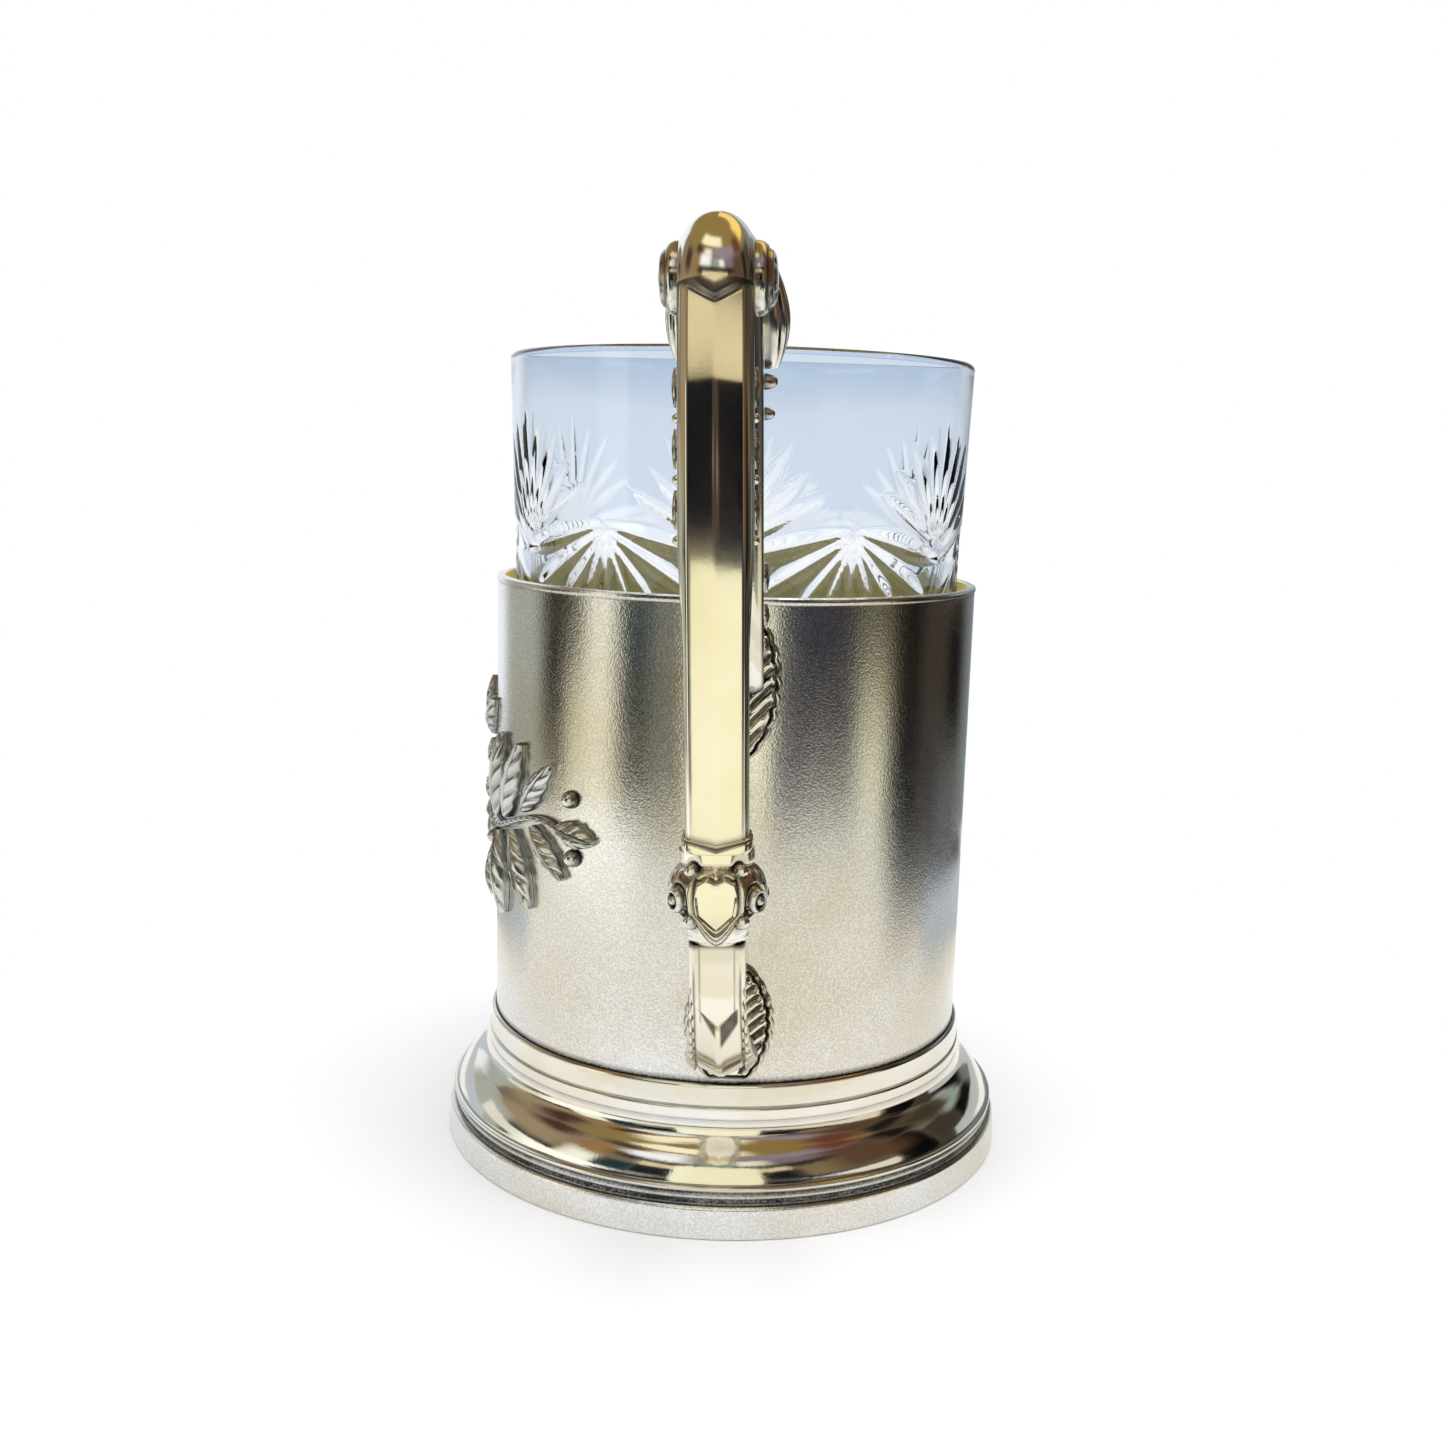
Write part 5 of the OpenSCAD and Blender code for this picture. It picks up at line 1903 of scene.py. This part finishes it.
@dataclass(frozen=True)
class TeaGlass(SubAssembly):
    """Tapered glass with six fans cut upwards and six downwards between them."""

    # Levels and radii of the foot and the mouth
    foot_z: float = 15.0
    foot_r: float = 30.2
    mouth_z: float = 115.1
    mouth_r: float = 33.4
    # Wall at the mouth and low down, base, round of the bowl, and hollow under the foot
    mouth_wall: float = 1.8
    low_wall: float = 2.6
    base: float = 6.0
    inner_round: float = 5.0
    punt: float = 0.8
    # Fans: their number, turn, and the levels from which they rise and fall
    fans: int = 6
    fan_turn: float = -1.4
    fan_z: float = 89.3
    apex_z: float = 92.2
    # Grid points across a sector
    columns: int = 92

    def radius(self, z: Number) -> Number:
        """Outside radius at a height."""
        return mix(self.foot_r, self.mouth_r, (z - self.foot_z) / (self.mouth_z - self.foot_z))

    def cuts(self, pitch: float) -> list[Cut]:
        """Cuts of one sector and of its neighbours' edges.

        Args:
            pitch: Width of a sector on the unrolled wall.

        Returns:
            The rays of the upward fan, the two long leaf cuts from each downward fan's head to
            the fans beside it, and the wedges and rays that run down from that head.
        """
        found = []
        for shift in (-pitch, 0.0, pitch):
            for i in range(-4, 5):
                angle = i * 15.0
                long = 17.2 - 0.5 * abs(i) ** 1.2 - (0.9 if i % 2 else 0)
                found.append(Cut((shift + 0.012 * angle, self.fan_z + 0.6), angle, long, 2.2, 0.27))
            head = shift + pitch / 2
            for hand in (-1, 1):
                fall = self.apex_z - self.fan_z + 1.2
                reach = np.hypot(pitch / 2, fall)
                tilt = 90 + np.degrees(asin(fall / reach))
                found.append(Cut((head, self.apex_z), hand * tilt, reach, 3.6, 0.6))
                found += [Cut((head, self.apex_z - drop), hand * angle, *sizes)
                          for drop, angle, *sizes in DOWNWARD_CUTS]
        return found

    def outer(self) -> tuple[Array, Array]:
        """Heights of the outer wall's rows and the depth of the cuts on one sector.

        Returns:
            The rows' heights, and the depths, shaped (rows, columns).
        """
        rows = np.concatenate([np.linspace(15.8, 70, 12, endpoint=False),
                               np.arange(70, 108.5, 0.36), np.linspace(108.9, 114.0, 7)])
        pitch = 2 * np.pi * self.radius(95.0) / self.fans
        x = (np.arange(self.columns) / self.columns - 0.5) * pitch
        z, x = np.meshgrid(rows, x, indexing="ij")
        depth = np.zeros_like(z)
        for cut in self.cuts(pitch):
            depth = np.maximum(depth, cut.at(x, z))
        return rows, depth

    def pieces(self) -> list[Piece]:
        """The glass: its cut outer wall, rim, inner wall and base in one skin.

        Returns:
            The one piece.
        """
        rows, depth = self.outer()
        outer = np.stack([self.radius(rows), rows], axis=1)
        rim, top_r = self.mouth_wall / 2, self.radius(self.mouth_z)
        a = np.radians(np.linspace(0, 180, 11))
        lip = np.stack([top_r - rim + rim * np.cos(a), self.mouth_z - rim + rim * np.sin(a)],
                       axis=1)
        low = self.foot_z + self.base
        round_z = low + self.inner_round
        round_r = self.radius(round_z) - self.low_wall
        inner = np.stack([np.linspace(lip[-1, 0], round_r, 16)[1:-1],
                          np.linspace(lip[-1, 1], round_z, 16)[1:-1]], axis=1)
        b = np.radians(np.linspace(0, 90, 9))
        bowl = np.stack([round_r - self.inner_round + self.inner_round * np.cos(b),
                         round_z - self.inner_round * np.sin(b)], axis=1)
        disc = np.array([[18.0, low], [8.0, low]])
        punt = self.foot_z + self.punt
        under = np.array([[8.0, punt], [18.0, punt], [23.6, punt], [24.4, self.foot_z],
                          [29.1, self.foot_z], [29.4, self.foot_z],
                          [self.radius(15.4) - 0.15, 15.35]])
        outline = np.concatenate([under, outer, lip, inner, bowl, disc])
        sector = np.zeros((len(outline), self.columns))
        sector[len(under):len(under) + len(rows)] = depth
        cut = np.tile(sector, (1, self.fans))
        turn = (np.arange(cut.shape[1]) / self.columns - 0.5) * 2 * np.pi / self.fans
        grid = around(outline[:, :1] - cut, turn + radians(self.fan_turn), outline[:, 1:])
        wall = np.zeros(len(outline))
        wall[len(under) + len(rows) + len(lip):] = 1
        skin = swept(grid, np.maximum(smooth(0.02, 0.1, cut), wall[:, None]))
        return [Piece("cut_tea_glass", skin, Slot.CRYSTAL, "tea_glass", Body.GLASS,
                      crease=Crease.CUT_GLASS)]


# Studio


@dataclass(frozen=True)
class Card:
    """A soft-edged card of the tent: its bearings in degrees, its heights, and its tone.

    Bearing 0 is the camera's side, positive to the right.
    """

    left: float
    right: float
    low: float
    high: float
    tone: Colour
    edge: float = 5.0
    fade: float = 10.0

    def across(self, bearing: Value) -> Value:
        """Share of the card at a bearing in turns."""
        e, left, right = self.edge / 720, self.left / 360 + 0.5, self.right / 360 + 0.5
        return bearing.step(left - e, left + e) * (1 - bearing.step(right - e, right + e))

    def share(self, bearing: Value, height: Value) -> Value:
        """Share of the card at a bearing and a height.

        Args:
            bearing: Bearing in turns.
            height: Height in metres.

        Returns:
            The share.
        """
        f, low, high = self.fade * MM / 2, self.low * MM, self.high * MM
        upward = height.step(low - f, low + f) * (1 - height.step(high - f, high + f))
        return self.across(bearing) * upward


CARDS = (
    # Rear left: a pale window wall, duller near the table
    Card(-200, -128, -50, 290, (0.95, 0.97, 1.0), 14),
    Card(-128, -92, -50, 110, (0.68, 0.69, 0.66), 14),
    Card(-200, -112, -50, 24, (0.56, 0.58, 0.57), 10),
    # Left: a dark strip, a bright window and a dark strip
    Card(-93, -77, 30, 84, (0.06, 0.05, 0.07), 5, 26),
    Card(-77, -66, -50, 50, (0.93, 0.92, 0.83), 5, 12),
    Card(-78, -65, 50, 130, (0.2, 0.19, 0.18), 5, 12),
    Card(-66, -50, -50, 150, (1.0, 0.99, 0.93), 4, 20),
    Card(-49, -34, 22, 150, (0.12, 0.2, 0.23), 5, 18),
    # Front: dark on the camera's side, with two narrow windows at its middle
    Card(-34, -24, -50, 90, (0.48, 0.49, 0.47), 5, 10),
    Card(-34, -17, 88, 160, (0.06, 0.08, 0.11), 2.5, 5),
    Card(16, 36, 88, 160, (0.05, 0.06, 0.1), 2.5, 5),
    Card(-17, 16, 86, 160, (0.28, 0.23, 0.2), 2, 5),
    Card(-16, -10, 108, 122, (0.6, 0.52, 0.46), 3, 8),
    Card(9.5, 15, 108, 122, (0.62, 0.54, 0.5), 3, 8),
    Card(-7, 7, 168, 250, (0.56, 0.64, 0.62), 4, 8),
    # Right: dark, a low window, and dark strips
    Card(8, 38, -50, 50, (0.36, 0.36, 0.38), 7, 24),
    Card(8, 38, 50, 90, (0.22, 0.22, 0.24), 7, 24),
    Card(28, 56, 26, 90, (0.17, 0.17, 0.22), 7, 26),
    Card(30, 56, -50, 26, (0.62, 0.61, 0.56), 7, 20),
    Card(56, 72, 34, 90, (0.34, 0.34, 0.31), 6, 20),
    Card(57, 72, -50, 46, (0.9, 0.88, 0.76), 6, 20),
    Card(74, 94, -50, 150, (0.03, 0.04, 0.05), 4, 10),
    Card(94, 113, -50, 110, (0.25, 0.23, 0.21), 5),
    Card(113, 135, 26, 70, (0.04, 0.04, 0.06), 6, 14),
    Card(113, 150, 80, 110, (0.6, 0.66, 0.68), 10, 10),
    Card(108, 130, -50, 22, (0.36, 0.38, 0.39), 8, 12),
    Card(135, 200, -50, 262, (0.46, 0.49, 0.5), 12),
    Card(154, 200, -50, 262, (0.72, 0.76, 0.8), 14),
    # Two cream panels just over the front, under a dark band with two windows above it
    Card(-60, 60, 176, 206, (0.13, 0.12, 0.13), 16, 8),
    Card(-34, 31, 158, 183, (0.9, 0.84, 0.69), 5, 5),
    Card(-46, -14, 208, 270, (1.0, 1.0, 1.0), 18, 18),
    Card(9, 24, 208, 244, (1.0, 1.0, 0.94), 8, 14),
    Card(24, 76, 214, 300, (0.5, 0.45, 0.52), 26, 34),
    Card(-2, 40, 250, 300, (0.56, 0.52, 0.6), 22, 26),
    # Higher up at the sides: warm walls
    Card(-112, -66, 96, 262, (0.62, 0.55, 0.44), 16, 30),
    Card(-104, -74, 170, 262, (0.3, 0.2, 0.18), 20, 60),
    Card(-66, -48, 140, 262, (0.6, 0.46, 0.3), 16, 50),
    Card(36, 56, 100, 176, (0.52, 0.45, 0.32), 16, 40),
    Card(50, 84, 90, 262, (0.36, 0.27, 0.2), 20, 50),
    Card(84, 104, 150, 262, (0.12, 0.1, 0.09), 14, 50),
    Card(104, 126, 110, 262, (0.26, 0.23, 0.18), 14, 50),
    # Ceiling: old gold with a lamp, a pale patch, and red to the right
    Card(-200, 200, 266, 400, (0.56, 0.47, 0.29), 5, 30),
    Card(-66, -44, 262, 300, (0.24, 0.21, 0.17), 16, 30),
    Card(-36, -14, 262, 292, (0.95, 0.95, 0.93), 16, 24),
    Card(-6, 70, 264, 306, (0.58, 0.52, 0.58), 20, 24),
    Card(-58, 20, 310, 350, (1.0, 0.97, 0.82), 20, 14),
    Card(100, 200, 290, 352, (1.0, 0.86, 0.5), 30, 16),
    Card(60, 92, 262, 330, (0.42, 0.24, 0.2), 20, 30),
)


@dataclass(frozen=True)
class Studio:
    """Camera, pale table, soft lamps, and a tent that only reflections see."""

    # Camera: its distance and height, its angles in degrees, and its turn about the axis
    distance: float = 234.04
    height: float = 101.257
    pitch: float = 9.576
    roll: float = 1.590
    yaw: float = -0.361
    turn: float = 1.0
    # Focal length and image width in pixels, and the sensor's width
    focal_px: float = 1574.37
    image_px: float = 1445.0
    sensor: float = 36.0
    # Radii of the tent and of the near cards, and the thickness of a card
    tent_r: float = 212.0
    near_r: float = 110.0
    card_t: float = 0.5

    def camera(self) -> None:
        """Camera from its distance, height and three angles, turned about the axis."""
        pitch, roll, yaw = radians(self.pitch), radians(self.roll), radians(self.yaw)
        ahead = np.array([sin(yaw) * cos(pitch), cos(yaw) * cos(pitch), -sin(pitch)])
        right = np.array([cos(yaw), -sin(yaw), 0])
        up = np.cross(right, ahead)
        across = cos(roll) * right + sin(roll) * up
        upright = -sin(roll) * right + cos(roll) * up
        data = bpy.data.cameras.new("camera")
        data.sensor_width = self.sensor
        data.lens = self.focal_px * self.sensor / self.image_px
        data.clip_start = 0.01
        thing = bpy.data.objects.new("camera", data)
        turn = Matrix(np.stack([across, upright, -ahead], axis=1).tolist()).to_4x4()
        thing.matrix_world = Matrix.Rotation(radians(self.turn), 4, "Z") @ Matrix.Translation(
            Vector((0, -self.distance * MM, self.height * MM))) @ turn
        bpy.context.scene.collection.objects.link(thing)
        bpy.context.scene.camera = thing

    def table(self) -> None:
        """Wide pale table, a little uneven in tone, that ends in plain white further out."""
        s = Shader("pale table")
        tone = s.noise(3.0, 2.0).step(0.3, 0.7)
        colour = s.blended(linear((0.965, 0.965, 0.965)), linear((0.975, 0.972, 0.97)), tone)
        near = s.node("ShaderNodeBsdfPrincipled", {}, {
            "Base Color": colour, "Roughness": 0.8, "Specular IOR Level": 0.1})
        white = s.node("ShaderNodeEmission", {}, {"Color": (1, 1, 1, 1), "Strength": 1.0})
        x, y, _ = s.axes()
        far = (x * x + y * y).step(0.055 ** 2, 0.15 ** 2) * s.seen()
        shader = s.node("ShaderNodeMixShader", {}, {
            0: far, 1: near.outputs[0], 2: white.outputs[0]})
        mesh = bpy.data.meshes.new("table")
        mesh.from_pydata([(-6, -6, 0), (6, -6, 0), (6, 6, 0), (-6, 6, 0)], [], [(0, 1, 2, 3)])
        mesh.materials.append(s.surface(shader.outputs[0]))
        thing = bpy.data.objects.new("table", mesh)
        bpy.context.scene.collection.objects.link(thing)

    def tent(self) -> None:
        """Tent of cards round the object."""
        s = Shader("tent of cards")
        x, y, z = s.axes()
        bearing = x.bearing(-1.0 * y)
        colour = linear((0.46, 0.43, 0.38))
        for card in CARDS:
            colour = s.blended(colour, linear(card.tone), card.share(bearing, z))
        r = self.tent_r
        outline = np.array([[0, 380], [90, 365], [160, 325], [200, 265], [r, 200], [r, 120],
                            [r, 60], [r, 2], [r + 3, 2], [r + 3, 205], [202, 270], [161, 330],
                            [90, 370], [0, 385]], float)
        self.reflected("tent", turned(outline, 0.0, 96, on_axis=True), s.glowing(colour, 1.1))

    def near_cards(self) -> None:
        """Pale cards nearer to the object: low ones round it, and one before it."""
        s = Shader("low cards")
        x, y, _ = s.axes()
        window = Card(-74, -36, -50, 50, (1.0, 0.99, 0.94), 14).across(x.bearing(-1.0 * y))
        colour = s.blended(linear((0.84, 0.825, 0.77)), linear((1.0, 1.0, 0.98)), window)
        self.reflected("low_cards", self.strip(-100, 66, 84, 20.0, 36.5),
                       s.glowing(colour, 1.3))
        pale = Shader("side cards").glowing(linear((0.78, 0.81, 0.84)), 1.0)
        for side, name in ((-1, "left_card"), (1, "right_card")):
            self.reflected(name, self.strip(side * 96, side * 168, 40, 2.0, 19.0), pale)
        x, z = np.array([[-32.0, 32.0, 32.0, -32.0]]), np.array([[34.0], [87.0]])
        card = np.stack(np.broadcast_arrays(x, -self.card_rings, z), axis=-1)
        self.reflected("front_card", swept(card),
                       Shader("front card").glowing(linear((1.0, 0.985, 0.87)), 1.1))

    @property
    def card_rings(self) -> Array:
        """Distance of the four edges of a near card's section: its front, then its back."""
        return self.near_r + np.array([[0.0, 0.0, self.card_t, self.card_t]])

    def strip(self, first: float, last: float, steps: int, low: float, high: float) -> Skin:
        """Thin upright card that follows a circle round the object.

        Args:
            first: Bearing of its first end in degrees.
            last: Bearing of its last end.
            steps: Sections along it.
            low: Height of its lower edge.
            high: Height of its upper edge.

        Returns:
            The closed skin.
        """
        a = np.radians(np.linspace(first, last, steps))[:, None]
        return swept(around(self.card_rings, a, np.array([[low, high, high, low]])))

    def sheet(self) -> Skin:
        """Thin ring on the table that stands in for it in reflections, out to the tent."""
        outline = [[95.0, 0.3], [self.tent_r + 2, 0.3], [self.tent_r + 2, 0.6], [95.0, 0.6]]
        return turned(np.array(outline), 0.0, 96)

    def sheet_tones(self) -> bpy.types.Material:
        """Pale, and dark further out on the right and at the back.

        Returns:
            The material.
        """
        s = Shader("table sheet")
        x, y, _ = s.axes()
        bearing = x.bearing(-1.0 * y)
        out = (x * x + y * y).step(0.12 ** 2, 0.19 ** 2)
        colour = linear((0.945, 0.93, 0.885))
        for card in (Card(76, 150, -50, 50, (0.2, 0.2, 0.19), 12),
                     Card(-200, -114, -50, 50, (0.55, 0.57, 0.56), 12)):
            colour = s.blended(colour, linear(card.tone), card.across(bearing) * out)
        return s.glowing(colour, 1.12)

    def reflected(self, name: str, skin: Skin, material: bpy.types.Material) -> None:
        """Puts a surface on the stage that only reflections see.

        Args:
            name: Name of the object.
            skin: Its skin.
            material: Its material.
        """
        mesh = bpy.data.meshes.new(name)
        mesh.from_pydata((skin.points * MM).tolist(), [],
                         skin.quads.tolist() + skin.tris.tolist())
        mesh.materials.append(material)
        thing = bpy.data.objects.new(name, mesh)
        thing.visible_camera = False
        thing.visible_diffuse = False
        thing.visible_transmission = False
        thing.visible_shadow = False
        bpy.context.scene.collection.objects.link(thing)

    def lamp(self, name: str, place: Sequence[float], size: float, power: float,
             tint: Colour = (1.0, 1.0, 1.0)) -> None:
        """Square soft lamp that faces the object and shows in no reflection.

        Args:
            name: Name of the lamp.
            place: Its place in metres.
            size: Its side in metres.
            power: Its power in watts.
            tint: Its colour.
        """
        data = bpy.data.lights.new(name, "AREA")
        data.size = size
        data.energy = power
        data.color = tint
        thing = bpy.data.objects.new(name, data)
        thing.location = place
        aim = Vector((0, 0, 0.05)) - Vector(place)
        thing.rotation_euler = aim.to_track_quat("-Z", "Y").to_euler()
        thing.visible_glossy = False
        bpy.context.scene.collection.objects.link(thing)

    def world(self) -> None:
        """White surroundings for the camera, reflections and glass, softer light elsewhere."""
        world = bpy.data.worlds.new("room")
        world.use_nodes = True
        tree = NodeTree(world.node_tree)
        soft = tree.node("ShaderNodeBackground", {}, {"Color": (0.62, 0.63, 0.65, 1)})
        white = tree.node("ShaderNodeBackground", {}, {"Color": (1, 1, 1, 1)})
        blend = tree.node("ShaderNodeMixShader", {}, {
            0: tree.seen(), 1: soft.outputs[0], 2: white.outputs[0]})
        tree.node("ShaderNodeOutputWorld", {}, {"Surface": blend.outputs[0]})
        bpy.context.scene.world = world

    def build(self) -> None:
        """Sets up the camera, table, tent, lamps and world."""
        self.camera()
        self.table()
        self.tent()
        self.near_cards()
        self.reflected("table_sheet", self.sheet(), self.sheet_tones())
        self.world()
        self.lamp("lamp_above", (0.1, -0.1, 0.9), 0.8, 5.0)
        self.lamp("lamp_left", (-0.8, -0.4, 0.5), 0.6, 2.2, (0.97, 0.98, 1.0))
        self.lamp("lamp_right", (0.8, -0.3, 0.5), 0.6, 1.6, (1.0, 0.98, 0.95))
        bpy.context.scene.view_settings.view_transform = "Standard"


def main() -> None:
    """Builds the studio, the materials and each sub-assembly in order, and dresses its pieces."""
    logging.basicConfig(level=logging.INFO, format="%(message)s")
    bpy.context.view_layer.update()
    Studio().build()
    materials = {slot: finish.material() for slot, finish in FINISHES.items()}
    for group in (TurnedBody(), Handle(), Spray(), TeaGlass()):
        made = group.build()
        group.dress(made, materials)


if __name__ == "__main__":
    main()
